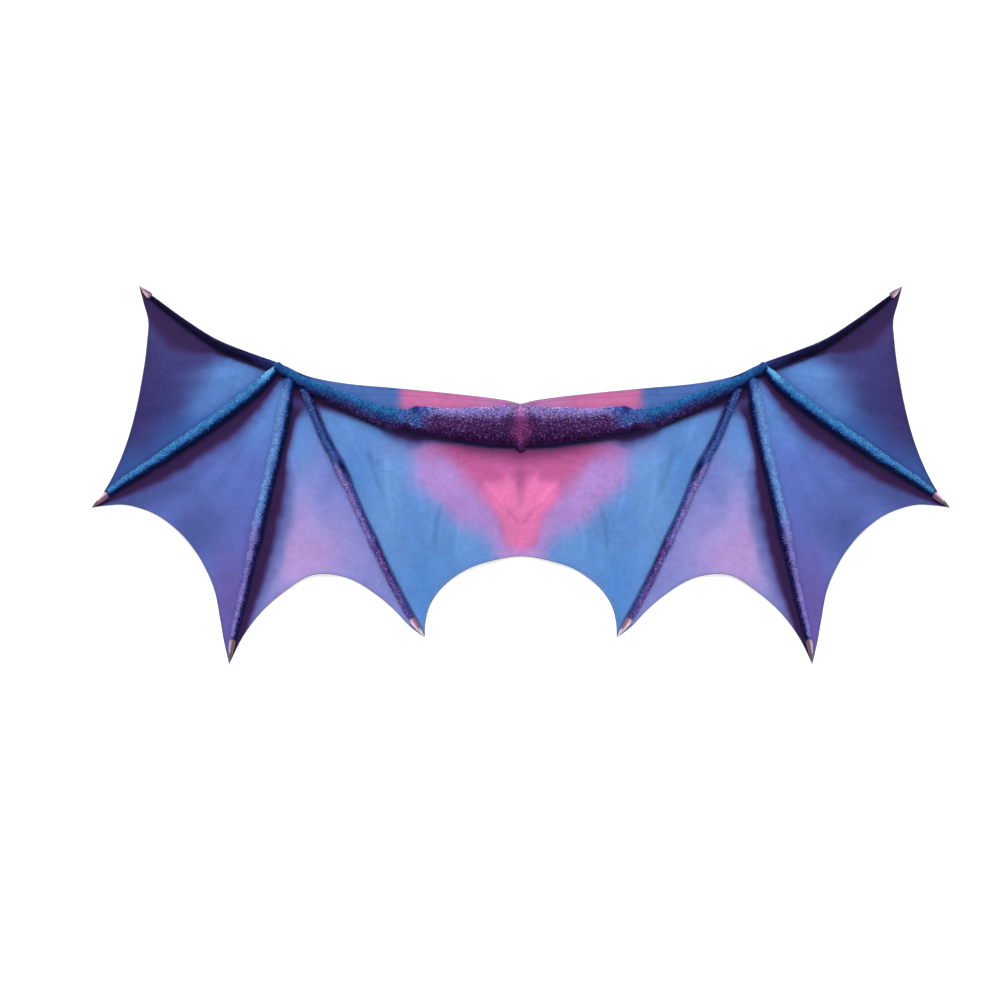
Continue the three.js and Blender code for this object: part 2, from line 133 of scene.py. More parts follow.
light_table, _, shader = new_material("light_table")
fill(shader, {"Base Color": FLOOR_GREY, "Roughness": 0.9})
fill(shader, {"Emission Color": FLOOR_GREY, "Emission Strength": FLOOR_GLOW})
floor_mesh = bpy.data.meshes.new("floor")
floor_corners = [(x * FLOOR_HALF, y * FLOOR_HALF, 0) for x, y in ((-1, -1), (1, -1), (1, 1), (-1, 1))]
floor_mesh.from_pydata(floor_corners, [], [(0, 1, 2, 3)])
floor_mesh.materials.append(light_table)
floor = bpy.data.objects.new("floor", floor_mesh)
bpy.context.collection.objects.link(floor)
print("lit by", sun.name, "and", world.name)

# %% [markdown]
# ## The plan
#
# A tailor would start from a paper pattern, and so does this: each edge and rib is a short list of places in
# the right wing. A place is a share of half the span, outwards from the middle, and a share of the height,
# upwards. The left wing is the same pattern turned over. A smooth line through the places comes from the
# centripetal Catmull-Rom rule, which never loops or overshoots between close points, and the line is then
# read by its own length, so that equal steps stay equal.

# %% pattern lines
NOTCH = (0.0, 0.689)
WRIST = (0.569, 0.799)
TIP_1 = (0.89, 1.0)
TIP_2 = (1.0, 0.414)
TIP_3 = (0.68, 0.0)
TIP_4 = (0.224, 0.07)
HEM_MIDDLE = (0.0, 0.285)

NECKLINE = [NOTCH, (0.025, 0.696), (0.076, 0.705), (0.188, 0.719), (0.3, 0.731), (0.398, 0.741), (0.468, 0.754),
            (0.506, 0.766), (0.543, 0.786), WRIST]
LEADING_EDGE = [WRIST, (0.636, 0.826), (0.711, 0.861), (0.785, 0.914), (0.841, 0.96), TIP_1]
OUTER_EDGE = [TIP_1, (0.88, 0.957), (0.869, 0.909), (0.871, 0.856), (0.881, 0.765), (0.9, 0.658), (0.93, 0.551),
              (0.967, 0.465), TIP_2]
OUTER_HEM = [TIP_2, (0.967, 0.419), (0.925, 0.421), (0.888, 0.412), (0.841, 0.389), (0.785, 0.337), (0.743, 0.27),
             (0.715, 0.198), (0.701, 0.118), (0.692, 0.059), TIP_3]
INNER_HEM = [TIP_3, (0.648, 0.072), (0.603, 0.139), (0.543, 0.198), (0.492, 0.233), (0.45, 0.238), (0.394, 0.223),
             (0.338, 0.184), (0.296, 0.144), (0.258, 0.099), TIP_4]
BACK_HEM = [TIP_4, (0.222, 0.111), (0.21, 0.159), (0.181, 0.205), (0.128, 0.249), (0.074, 0.271), HEM_MIDDLE]

FINGER_1 = [(0.568, 0.785), (0.636, 0.813), (0.697, 0.838), (0.75, 0.874), (0.832, 0.943), TIP_1]
FINGER_2 = [(0.566, 0.793), (0.59, 0.757), (0.68, 0.671), (0.795, 0.579), (0.872, 0.521), (0.946, 0.465), TIP_2]
FINGER_3 = [(0.535, 0.765), (0.54, 0.738), (0.551, 0.668), (0.566, 0.583), (0.59, 0.473), (0.622, 0.313),
            (0.648, 0.179), (0.669, 0.075), TIP_3]
FINGER_4 = [(0.515, 0.754), (0.503, 0.722), (0.457, 0.596), (0.419, 0.513), (0.375, 0.398), (0.34, 0.313),
            (0.307, 0.233), (0.261, 0.134), TIP_4]
FOREARM = [(0.572, 0.789), (0.538, 0.762), (0.492, 0.734), (0.445, 0.713), (0.398, 0.691), (0.352, 0.668),
           (0.305, 0.651), (0.262, 0.647)]
UPPER_ARM = [(0.274, 0.652), (0.207, 0.643), (0.165, 0.636), (0.104, 0.632), (0.048, 0.63), (-0.01, 0.63)]
SPINE = [(0.0, 0.687), (0.0, 0.63), (0.0, 0.559)]


def places(shares):
    """Plan shares to metres: x = share * half span, y = (share - a half) * height."""
    shares = np.asarray(shares, float)
    return np.stack([shares[..., 0] * WING_SPAN / 2, (shares[..., 1] - 0.5) * WING_HEIGHT], -1)


def left_of(ahead):
    """A quarter turn to the left of each direction."""
    return np.stack([-ahead[..., 1], ahead[..., 0]], -1)


class Line:
    """A smooth line through plan points, read by share of its length."""

    STEPS = 40

    def __init__(self, points):
        """Each stretch is a cubic whose end slopes follow the square roots of the distances between points."""
        p = np.asarray(points, float)
        p = np.concatenate([[2 * p[0] - p[1]], p, [2 * p[-1] - p[-2]]])
        gap = np.sqrt(np.linalg.norm(np.diff(p, axis=0), axis=1))[:, None]
        step = np.diff(p, axis=0) / gap
        wide = (p[2:] - p[:-2]) / (gap[1:] + gap[:-1])
        slope = step[:-1] - wide + step[1:]
        start, end = p[1:-2], p[2:-1]
        lead, trail = slope[:-1] * gap[1:-1], slope[1:] * gap[1:-1]
        t = np.linspace(0, 1, self.STEPS, endpoint=False)[None, :, None]
        cubic = (
            (2 * t**3 - 3 * t**2 + 1) * start[:, None]
            + (t**3 - 2 * t**2 + t) * lead[:, None]
            + (3 * t**2 - 2 * t**3) * end[:, None]
            + (t**3 - t**2) * trail[:, None]
        )
        self.points = np.concatenate([cubic.reshape(-1, 2), p[-2:-1]])
        self.reach = np.concatenate([[0], np.cumsum(np.linalg.norm(np.diff(self.points, axis=0), axis=1))])
        self.length = self.reach[-1]

    def at(self, share):
        """The place at a share of the whole length."""
        along = np.clip(share, 0, 1) * self.length
        return np.stack([np.interp(along, self.reach, self.points[:, i]) for i in (0, 1)], -1)

    def ahead(self, share):
        """The unit direction of travel: a short chord round the place."""
        chord = self.at(np.asarray(share) + 0.004) - self.at(np.asarray(share) - 0.004)
        return chord / np.linalg.norm(chord, axis=-1, keepdims=True)


finger_routes = {"finger_1": FINGER_1, "finger_2": FINGER_2, "finger_3": FINGER_3, "finger_4": FINGER_4}
seams = {name: Line(places(route)) for name, route in finger_routes.items()}
print("fingers with claws:", {name: f"{line.length * 1000:.0f} mm" for name, line in seams.items()})

# %% [markdown]
# ## The padded ribs' sizes
#
# A rib is wadding in a sewn cover, so its thickness changes softly: thick at the shoulder, thin at the
# point, with a knuckle here and there. Each is a table of sections: share of the length, then shares of its
# largest width and height. The tables are blurred a little along the rib, as wadding does by itself.

# %% rib tables
MM = 0.001
CLOTH_THICKNESS = 1.6 * MM
FINGER_WIDTH = 26 * MM
FINGER_HEIGHT = 17 * MM
FOREARM_WIDTH = 43 * MM
FOREARM_HEIGHT = 26 * MM
UPPER_ARM_WIDTH = 79 * MM
UPPER_ARM_HEIGHT = 46 * MM
SPINE_WIDTH = 56 * MM
SPINE_HEIGHT = 49 * MM
CLAW_LENGTH = 50 * MM
CLAW_WIDTH = 15 * MM
CLAW_HEIGHT = 11 * MM

FINGER_1_SECTIONS = [(0, 0.86, 0.8), (0.06, 1, 1), (0.3, 0.9, 1), (0.4, 0.8, 0.96), (0.55, 0.66, 0.84),
                     (0.8, 0.55, 0.72), (0.95, 0.52, 0.66), (1, 0.5, 0.54)]
FINGER_2_SECTIONS = [(0, 0.56, 0.56), (0.04, 0.76, 0.82), (0.14, 0.96, 1), (0.32, 1, 1), (0.5, 1.02, 1),
                     (0.68, 0.92, 0.94), (0.84, 0.78, 0.82), (0.96, 0.64, 0.7), (1, 0.52, 0.52)]
FINGER_3_SECTIONS = [(0, 0.9, 0.8), (0.05, 1, 0.94), (0.2, 1.04, 1), (0.36, 0.98, 0.98), (0.52, 0.94, 0.94),
                     (0.6, 1.04, 1.06), (0.63, 0.98, 1), (0.66, 0.8, 0.84), (0.8, 0.72, 0.78), (0.97, 0.56, 0.62),
                     (1, 0.46, 0.46)]
FINGER_4_SECTIONS = [(0, 0.9, 0.8), (0.06, 0.92, 0.94), (0.2, 0.88, 1), (0.32, 0.88, 1), (0.375, 1.06, 1.16),
                     (0.41, 1, 1.06), (0.45, 0.76, 0.88), (0.6, 0.72, 0.86), (0.68, 0.86, 0.98),
                     (0.72, 0.74, 0.84), (0.86, 0.74, 0.8), (0.97, 0.66, 0.72), (1, 0.56, 0.56)]
FOREARM_SECTIONS = [(0, 0.5, 0.5), (0.1, 0.56, 0.62), (0.25, 0.62, 0.7), (0.42, 0.7, 0.8), (0.6, 0.78, 0.9),
                    (0.78, 0.88, 1), (0.92, 1, 1), (1, 0.94, 0.9)]
UPPER_ARM_SECTIONS = [(0, 0.32, 0.3), (0.03, 0.54, 0.5), (0.09, 0.67, 0.62), (0.2, 0.69, 0.66), (0.36, 0.74, 0.74),
                      (0.52, 0.86, 0.84), (0.7, 0.96, 0.95), (0.86, 1, 1), (1, 1, 0.98)]
SPINE_SECTIONS = [(0, 0.3, 0.5), (0.1, 0.5, 0.8), (0.28, 0.86, 1), (0.45, 1, 1), (0.62, 0.84, 0.97),
                  (0.76, 0.52, 0.84), (0.87, 0.42, 0.6), (0.95, 0.36, 0.44), (1, 0.2, 0.2)]


def blurred(values, reach, spread):
    """Even steps of values, blurred by a bell of that spread in steps and cut off at that reach."""
    weights = np.exp(-0.5 * (np.arange(-reach, reach + 1) / spread) ** 2)
    return np.convolve(np.pad(values, reach, mode="edge"), weights / weights.sum(), mode="valid")


class Rib:
    """A padded rib: its line, how much of it is padded, its sections, largest width and height, and lit side."""

    def __init__(self, line, sections, width, height, lit_side, claw_length=0.0):
        self.line, self.sections = line, np.array(sections, float)
        self.width, self.height, self.lit_side = width, height, lit_side
        self.padded_share = 1 - claw_length / line.length

    def sized(self, share, column):
        """A share of the width (column 1) or height (column 2), blurred over 2% of the length."""
        fine = np.linspace(0, 1, 401)
        raw = np.interp(fine, self.sections[:, 0], self.sections[:, column])
        return np.interp(share, fine, blurred(raw, 16, 5.0))


SECTIONS = {"finger_1": FINGER_1_SECTIONS, "finger_2": FINGER_2_SECTIONS, "finger_3": FINGER_3_SECTIONS,
            "finger_4": FINGER_4_SECTIONS}
FINGER_SIZES = {  # shares of the second finger's width and height and of the longest claw
    "finger_1": (0.77, 0.76, 0.64),
    "finger_2": (1.0, 1.0, 0.84),
    "finger_3": (0.96, 1.0, 1.0),
    "finger_4": (0.81, 0.88, 0.92),
}
ribs = {
    name: Rib(seams[name], SECTIONS[name], width * FINGER_WIDTH, height * FINGER_HEIGHT, 1, claw * CLAW_LENGTH)
    for name, (width, height, claw) in FINGER_SIZES.items()
}
ribs["forearm"] = Rib(Line(places(FOREARM)), FOREARM_SECTIONS, FOREARM_WIDTH, FOREARM_HEIGHT, -1)
ribs["upper_arm"] = Rib(Line(places(UPPER_ARM)), UPPER_ARM_SECTIONS, UPPER_ARM_WIDTH, UPPER_ARM_HEIGHT, -1)
ribs["spine_knuckle"] = Rib(Line(places(SPINE)), SPINE_SECTIONS, SPINE_WIDTH, SPINE_HEIGHT, 1)
print("ribs:", ", ".join(ribs))

# %% [markdown]
# ## Colour helpers
#
# The wings are dyed by airbrush: soft clouds of colour that run into each other. Colours are named as a
# dyer would name them and written as screen values, so they are turned to linear light before they go into
# a mesh. A soft random field, made from a grid of random numbers with smooth steps between them, keeps the
# clouds from looking like perfect ellipses.

# %% dyes and soft noise
CLOTH_DYES = {
    "violet": (60, 42, 98), "indigo": (56, 58, 118), "ocean": (56, 98, 170), "sky": (92, 138, 207),
    "periwinkle": (92, 112, 190), "slate": (72, 84, 150), "soft_violet": (103, 88, 163), "lavender": (128, 134, 202),
    "orchid": (178, 148, 210), "lilac": (170, 134, 203), "cornflower": (95, 140, 206),
    "deep_cornflower": (82, 134, 204), "pale_blue": (105, 150, 210), "rose": (187, 92, 150),
    "deep_rose": (167, 77, 136), "hot_pink": (225, 119, 177), "hyacinth": (112, 126, 196),
    "collar_pink": (208, 116, 168), "collar_lilac": (192, 134, 190), "collar_blue": (80, 114, 182),
    # maroon, plum and midnight colour the painted shade beside the ribs, and slate also colours its haze
    "maroon": (48, 25, 70), "plum": (74, 44, 104), "midnight": (20, 22, 66), "edge_grey": (96, 92, 104),
}
PILE_YARNS = {
    "ink": (18, 13, 42), "ink_blue": (33, 33, 83), "night": (6, 20, 60), "night_blue": (14, 40, 90),
    "lagoon": (46, 98, 146), "surf": (104, 164, 202), "teal": (30, 92, 146), "deep_teal": (30, 72, 130),
    "sea": (84, 146, 190), "foam": (150, 205, 230), "steel": (84, 122, 174),
    "pale_sky": (142, 168, 218), "navy": (14, 20, 66), "royal": (26, 48, 104), "iris": (106, 98, 160),
    "thread": (165, 150, 210), "slate_blue": (42, 66, 122), "mist": (120, 130, 185), "dusk": (50, 60, 120),
    "grape": (66, 58, 122), "heather": (200, 158, 214), "marine": (36, 58, 112), "harbour": (28, 58, 112),
    "wave": (70, 130, 185), "aubergine": (46, 14, 60), "fig": (84, 42, 104), "damson": (58, 30, 76),
    "mallow": (148, 108, 168), "wisteria": (116, 98, 158), "frost": (190, 178, 218), "denim": (52, 80, 144),
    "cloud_blue": (140, 152, 204), "twilight": (70, 60, 120), "mulberry": (104, 46, 100), "petal": (172, 106, 156),
    "berry": (92, 38, 92), "dusty_rose": (158, 112, 164), "wine": (66, 22, 66), "night_plum": (44, 28, 82),
}
HORN_COLOURS = {
    "horn_lit_highlight": (228, 198, 214), "horn_flank": (166, 120, 144), "horn_shade": (108, 74, 96),
    "horn_tip": (90, 68, 82), "horn_point": (190, 188, 194),
}
DYES = CLOTH_DYES | PILE_YARNS | HORN_COLOURS
LATTICE = 127  # cells of soft noise before it repeats
LATTICE_START = 61.7  # cells from the lattice's corner to the wings' middle


def linear(colour):
    """Screen colour, 0 to 255, to linear light by the usual curve with power 2.4."""
    c = np.asarray(colour, float) / 255
    return np.where(c <= 0.04045, c / 12.92, ((c + 0.055) / 1.055) ** 2.4)


def smooth(x, low=0.0, high=1.0):
    """A smooth step: 3 t squared less 2 t cubed, of how far x is between low and high."""
    t = np.clip((x - low) / (high - low), 0, 1)
    return t * t * (3 - 2 * t)


def soft_noise(xy, size, seed):
    """Random numbers from -1 to 1 on a square grid of that size, blended by smooth steps."""
    lattice = np.random.default_rng(seed).uniform(-1, 1, (LATTICE + 1, LATTICE + 1))
    scaled = np.asarray(xy) / size + LATTICE_START
    cell = np.floor(scaled).astype(int)
    f = smooth(scaled - cell)
    i, j = cell[..., 0] % LATTICE, cell[..., 1] % LATTICE
    low = lattice[i, j] * (1 - f[..., 0]) + lattice[i + 1, j] * f[..., 0]
    high = lattice[i, j + 1] * (1 - f[..., 0]) + lattice[i + 1, j + 1] * f[..., 0]
    return low * (1 - f[..., 1]) + high * f[..., 1]


print("dyes:", len(DYES))

# %% [markdown]
# ## Making a piece
#
# All pieces are made the same way: an array of points and an array of faces go into a mesh, with one colour
# for each point. The left wing's copy of a piece has its x turned round and its faces wound the other way,
# so that they still point outwards.

# %% piece maker
made = {}


def outward(points, faces):
    """Turns all faces over if the closed form's volume, the sum of a . (b x c) over its triangles, is negative."""
    volume = 0.0
    for block in faces:
        for k in range(1, block.shape[1] - 1):
            volume += (points[block[:, 0]] * np.cross(points[block[:, k]], points[block[:, k + 1]])).sum()
    return faces if volume > 0 else [block[:, ::-1] for block in faces]


def new_piece(name, points, faces, material, replaces=(), colours=None):
    """A mesh piece in the row frame from points (n, 3), faces (a list of index arrays) and colours (n, 3)."""
    mesh = bpy.data.meshes.new(name)
    mesh.from_pydata(points.tolist(), [], [row for block in outward(points, faces) for row in block.tolist()])
    if colours is not None:
        layer = mesh.color_attributes.new("dye", "FLOAT_COLOR", "POINT")
        layer.data.foreach_set("color", np.concatenate([colours, np.ones((len(colours), 1))], 1).ravel())
    mesh.materials.append(material)
    mesh.shade_smooth()
    piece = bpy.data.objects.new(name, mesh)
    bpy.context.collection.objects.link(piece)
    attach(piece, "root")
    if replaces:
        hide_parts(*replaces)
    made[name] = piece
    return piece


def new_pair(name, points, faces, material, colours=None, replaces=True):
    """The right piece and its mirror image on the left."""
    pair = []
    for side, sign in (("right", 1), ("left", -1)):
        whole_name = f"{name}_{side}" + ("_dressed" if replaces else "")
        node = (f"{name}_{side}",) if replaces else ()
        pair.append(new_piece(whole_name, points * [sign, 1, 1], faces, material, node, colours))
    return pair


def grid_quads(rows, columns, start=0, closed=False):
    """Faces of a grid of points: each joins a point to the next column, and both to the next row."""
    r, c = np.meshgrid(np.arange(rows - 1), np.arange(columns if closed else columns - 1), indexing="ij")
    a, b = r * columns + c, r * columns + (c + 1) % columns
    return start + np.stack([a, b, b + columns, a + columns], -1).reshape(-1, 4)


def slab(upper, under):
    """A closed sheet from two grids of points (rows, columns, 3): its two faces and the wall round them."""
    rows, columns = upper.shape[:2]
    count = rows * columns
    top = grid_quads(rows, columns)
    rim = np.concatenate([
        np.arange(columns), np.arange(1, rows) * columns + columns - 1,
        (rows - 1) * columns + np.arange(columns - 2, -1, -1), np.arange(rows - 2, 0, -1) * columns,
    ])
    after = np.roll(rim, -1)
    wall = np.stack([rim, after, after + count, rim + count], -1)
    points = np.concatenate([upper.reshape(-1, 3), under.reshape(-1, 3)])
    return points, [top, (top + count)[:, ::-1], wall[:, ::-1]]


print("piece maker ready")

# %% [markdown]
# ## Cloth panels
#
# The real panels are light polyester, dyed, lined and stretched between the ribs. Such a panel could be
# draped by a cloth simulation, but its outline must stay on the pattern and its edges are held by ribs all
# round, so its shape is known: a patch between four edge lines. The Coons rule fills it: blend the two
# sides, blend the two ends, and take away the corners, which were counted twice. Heights are then added:
# the soft billow between the ribs, folds that fan out from the wrist, puckers where the ribs are sewn on,
# and a folded hem along each free edge.

# %% cloth shape
CLOTH_LIFT = 12 * MM
LIFT_REACH = 110 * MM
FLAT_MARGIN = 8 * MM
SEAM_GAP = 0.3 * MM
SEAM_TRIM = 8 * MM
EDGE_TRIM = 1.5 * MM
HEM_LIFT_SHARE = 0.35
HEM_LIFT_START = 0.6
HEM_WIDTH = 7 * MM
STITCH_INSET = 5.4 * MM


def beside(xy, rib, samples=90):
    """For each place: distance to the rib's edge, which side of the rib's line it is on, and the share along."""
    shares = np.linspace(0, 1, samples)
    route = rib.line.at(shares)
    ahead = rib.line.ahead(shares)
    padded = np.clip(shares / rib.padded_share, 0, 1)
    radius = rib.width * rib.sized(padded, 1) / 2
    along_claw = np.clip((shares - rib.padded_share) / (1.0001 - rib.padded_share), 0, None)
    radius = radius * (1 - along_claw)
    flat = xy.reshape(-1, 2)
    away = flat[:, None, :] - route[None]
    gap = np.linalg.norm(away, axis=2) - radius
    nearest = gap.argmin(1)
    pick = np.arange(len(flat))
    side = away[pick, nearest, 1] * ahead[nearest, 0] - away[pick, nearest, 0] * ahead[nearest, 1]
    return [a.reshape(xy.shape[:-1]) for a in (gap[pick, nearest], np.sign(side), shares[nearest])]


def patch(side_a, side_b, inner, hem, s, t):
    """The Coons patch at shares s from the inner end to the hem and t from side A to side B."""
    a, b, i, h = side_a(s)[:, None], side_b(s)[:, None], inner(t)[None], hem(t)[None]
    s, t = s[:, None, None], t[None, :, None]
    corners = (1 - s) * ((1 - t) * a[:1] + t * b[:1]) + s * ((1 - t) * a[-1:] + t * b[-1:])
    return (1 - t) * a + t * b + (1 - s) * i + s * h - corners


def seam_side(line, side, trim=SEAM_TRIM):
    """A line moved sideways by half the seam's gap, from the trim to its end."""
    first = trim / line.length

    def read(share):
        share = first + (1 - first) * np.asarray(share)
        return line.at(share) + side * SEAM_GAP / 2 * left_of(line.ahead(share))

    return read


def straight(start, end):
    return lambda share: start + (end - start) * np.asarray(share)[..., None]


def hem_between(line, start, end):
    """A hem line whose two ends are slipped on to the ends of its panel's sides."""
    def read(share):
        t = np.asarray(share)[..., None]
        return line.at(share) + (start - line.at(0.0)) * (1 - t) + (end - line.at(1.0)) * t

    return read


def graded(count, length, fine_start=False, fine_end=True):
    """Shares from 0 to 1 in even steps, with close rows inside a folded hem at the asked ends."""
    hem = np.array([0, 0.7, 1.6, 3, 4.6, 5.4, 6.2, 7, 8.2, 10.5, 13]) * MM / length
    low, high = (hem[-1] if fine_start else 0), (1 - hem[-1] if fine_end else 1)
    shares = [hem[:-1]] if fine_start else []
    shares.append(np.linspace(low, high, count))
    if fine_end:
        shares.append(1 - hem[:-1][::-1])
    return np.concatenate(shares)


all_ribs = [(rib, mirror) for rib in ribs.values() for mirror in (1, -1)]


def on_right_wing(xy):
    """Every place as it lies on the right wing, which the left one mirrors."""
    return np.stack([np.abs(xy[..., 0]), xy[..., 1]], -1)


def near_ribs(xy):
    """The smallest distance from any rib's edge on either wing."""
    return np.min([beside(xy * [mirror, 1], rib)[0] for rib, mirror in all_ribs], axis=0)


def billow(edge_gap, fade):
    """Half a cosine wave up from the rib's edge, faded towards the free hem."""
    share = np.clip((edge_gap - FLAT_MARGIN) / LIFT_REACH, 0, 1)
    return CLOTH_LIFT * (1 - np.cos(np.pi * share)) / 2 * fade


def hem_fade(s):
    return 1 - (1 - HEM_LIFT_SHARE) * smooth(s, HEM_LIFT_START, 1)


print("cloth: lifted", CLOTH_LIFT / MM, "mm between ribs")

# %% [markdown]
# ## Dyeing the cloth
#
# Each panel starts as one dye and is then sprayed: a spray is a cloud with a place, a length, a width and a
# turn, laid over what is there. Beside the dark side of most ribs a painted shade, mostly maroon, is sprayed
# along the rib, as the real print also has it. This could be a chain of gradient nodes, but a colour kept on
# the mesh's points follows the pattern exactly and is easy to read here.

# %% sprays
def cloud(spot, length, width, turn=0):
    """A soft ellipse with its long half length turned from X: exp(-(distance in its own half lengths) ** 2.5)."""
    a = math.radians(turn)

    def cover(xy):
        away = xy - places(spot)
        along = (away[..., 0] * math.cos(a) + away[..., 1] * math.sin(a)) / (length * MM)
        across = (away[..., 1] * math.cos(a) - away[..., 0] * math.sin(a)) / (width * MM)
        return np.exp(-np.power(along**2 + across**2, 1.25))

    return cover


def stencil(outline, blur):
    """A cut-out shape: the distance to its outline, positive inside, through a smooth step from -blur to blur."""
    start = places(outline)
    end = np.roll(start, -1, axis=0)
    side = end - start

    def cover(xy):
        away = xy[..., None, :] - start
        share = np.clip((away * side).sum(-1) / (side**2).sum(-1), 0, 1)
        gap = np.linalg.norm(away - share[..., None] * side, axis=-1).min(-1)
        crosses = (xy[..., None, 1] >= start[:, 1]) != (xy[..., None, 1] >= end[:, 1])
        slope = side[:, 0] / np.where(side[:, 1] == 0, 1, side[:, 1])
        inside = (crosses & (away[..., 0] < slope * away[..., 1])).sum(-1) % 2 == 1
        return smooth(np.where(inside, gap, -gap), -blur * MM, blur * MM)

    return cover


LILAC_YOKE = [(-0.1, 0.62), (0.235, 0.61), (0.249, 0.529), (0.249, 0.497), (0.24, 0.466), (0.212, 0.434),
              (0.167, 0.402), (0.137, 0.37), (0.097, 0.339), (0.067, 0.307), (0.045, 0.26), (-0.1, 0.26)]
ROSE_YOKE = [(-0.1, 0.62), (0.185, 0.61), (0.175, 0.57), (0.145, 0.529), (0.128, 0.497), (0.111, 0.466),
             (0.086, 0.434), (0.058, 0.402), (0.046, 0.37), (0.03, 0.339), (0.004, 0.307), (-0.1, 0.3)]
HEART = [(-0.1, 0.44), (0.0, 0.447), (0.012, 0.47), (0.03, 0.5), (0.05, 0.48), (0.085, 0.47), (0.09, 0.43),
         (0.06, 0.4), (0.046, 0.37), (0.03, 0.33), (0.0, 0.3), (-0.1, 0.3)]
COLLAR = [(-0.1, 0.8), (0.286, 0.8), (0.286, 0.62), (-0.1, 0.62)]

SPRAYS = {  # each panel's first dye, then its sprays: dye, strength, shape
    "tip_panel": ("indigo", [
        ("violet", 0.95, cloud((0.86, 0.93), 150, 95, 50)), ("violet", 0.7, cloud((0.9, 0.72), 120, 42, 80)),
        ("indigo", 0.6, cloud((0.8, 0.7), 80, 80)), ("ocean", 0.85, cloud((0.74, 0.64), 150, 42, -32)),
        ("ocean", 0.55, cloud((0.93, 0.5), 60, 30, -40)), ("sky", 1.0, cloud((0.672, 0.765), 74, 40, -12)),
        ("sky", 0.75, cloud((0.72, 0.71), 62, 34, -32)),
    ]),
    "outer_panel": ("periwinkle", [
        ("slate", 0.9, cloud((0.86, 0.45), 130, 36, -22)), ("slate", 0.85, cloud((0.755, 0.36), 90, 50, -58)),
        ("sky", 0.9, cloud((0.6, 0.66), 95, 52, -62)), ("periwinkle", 0.7, cloud((0.68, 0.5), 90, 60, -40)),
        ("indigo", 0.3, cloud((0.93, 0.43), 50, 14)), ("soft_violet", 0.95, cloud((0.68, 0.14), 130, 46, 90)),
        ("soft_violet", 0.55, cloud((0.625, 0.32), 70, 20, -80)),
    ]),
    "inner_panel": ("lavender", [
        ("sky", 0.95, cloud((0.515, 0.64), 120, 48, 90)), ("periwinkle", 0.35, cloud((0.43, 0.5), 70, 30, -65)),
        ("orchid", 0.45, cloud((0.503, 0.394), 70, 27, 90)), ("orchid", 0.97, cloud((0.508, 0.286), 94, 75)),
        ("lilac", 0.6, cloud((0.6, 0.1), 60, 24, 60)), ("hyacinth", 0.75, cloud((0.556, 0.35), 92, 15, -78)),
    ]),
    "back_panel": ("cornflower", [
        ("pale_blue", 0.9, cloud((0.3, 0.45), 120, 32, 100)),
        ("deep_cornflower", 0.8, cloud((0.225, 0.2), 90, 34, 80)),
        ("deep_cornflower", 0.6, cloud((0.38, 0.52), 80, 26, 110)),
        ("pale_blue", 0.7, cloud((0.13, 0.33), 40, 34)), ("deep_cornflower", 0.55, cloud((0.168, 0.3), 40, 10, 100)),
        ("lilac", 1.0, stencil(LILAC_YOKE, 25)), ("rose", 1.0, stencil(ROSE_YOKE, 24)),
        # the deep rose band just under the arms is a painted shade
        ("deep_rose", 0.95, cloud((0.0, 0.575), 190, 26)), ("hot_pink", 0.97, stencil(HEART, 14)),
        ("orchid", 0.5, cloud((0.0, 0.285), 50, 14)),
        ("collar_blue", 1.0, stencil([(0.24, 0.86), (0.62, 0.86), (0.62, 0.78), (0.24, 0.64)], 12)),
        ("collar_pink", 1.0, stencil(COLLAR, 14)), ("collar_lilac", 0.8, cloud((0.0, 0.7), 90, 30)),
    ]),
}
# the painted shade's reach beside each rib's dark side: (share along the rib, millimetres), then its strength
SHADES = {
    "finger_1": ([(0, 6), (0.3, 6), (0.4, 14), (0.5, 42), (0.6, 60), (0.8, 46), (1, 14)], 0.76),
    "finger_2": ([(0, 14), (0.09, 14), (0.19, 28), (0.33, 36), (0.45, 40), (0.6, 39), (0.78, 30), (0.92, 12), (1, 3)],
                 0.97),
    "finger_3": ([(0, 32), (0.09, 32), (0.15, 13), (0.27, 11), (0.36, 27), (0.47, 32), (0.63, 33), (0.76, 26),
                  (0.86, 20), (0.95, 13), (1, 6)], 0.96),
    "finger_4": ([(0, 10), (0.15, 3), (1, 3)], 0.4),
    "forearm": ([(0, 26), (0.33, 24), (0.5, 12), (0.7, 6), (0.82, 6), (0.94, 17), (1, 24)], 0.95),
    "upper_arm": ([(0, 26), (0.1, 22), (0.2, 15), (0.3, 11), (0.5, 7), (1, 6)], 0.85),
}
SHADED_BY = {
    "tip_panel": ["finger_1"],
    "outer_panel": ["finger_2"],
    "inner_panel": ["finger_3", "forearm"],
    "back_panel": ["finger_4", "forearm", "upper_arm"],
}


def screen(name):
    return np.array(DYES[name], float)


def sprayed(colour, xy, sprays):
    """Lays each spray over the colour, through a drift that keeps its edge from being perfect."""
    drift = np.stack([soft_noise(xy, 55 * MM, 3), soft_noise(xy, 55 * MM, 4)], -1) * 6 * MM
    drift += np.stack([soft_noise(xy, 17 * MM, 5), soft_noise(xy, 17 * MM, 6)], -1) * 2 * MM
    for name, strength, cover in sprays:
        colour = colour + (screen(name) - colour) * (strength * cover(xy + drift))[..., None]
    return colour


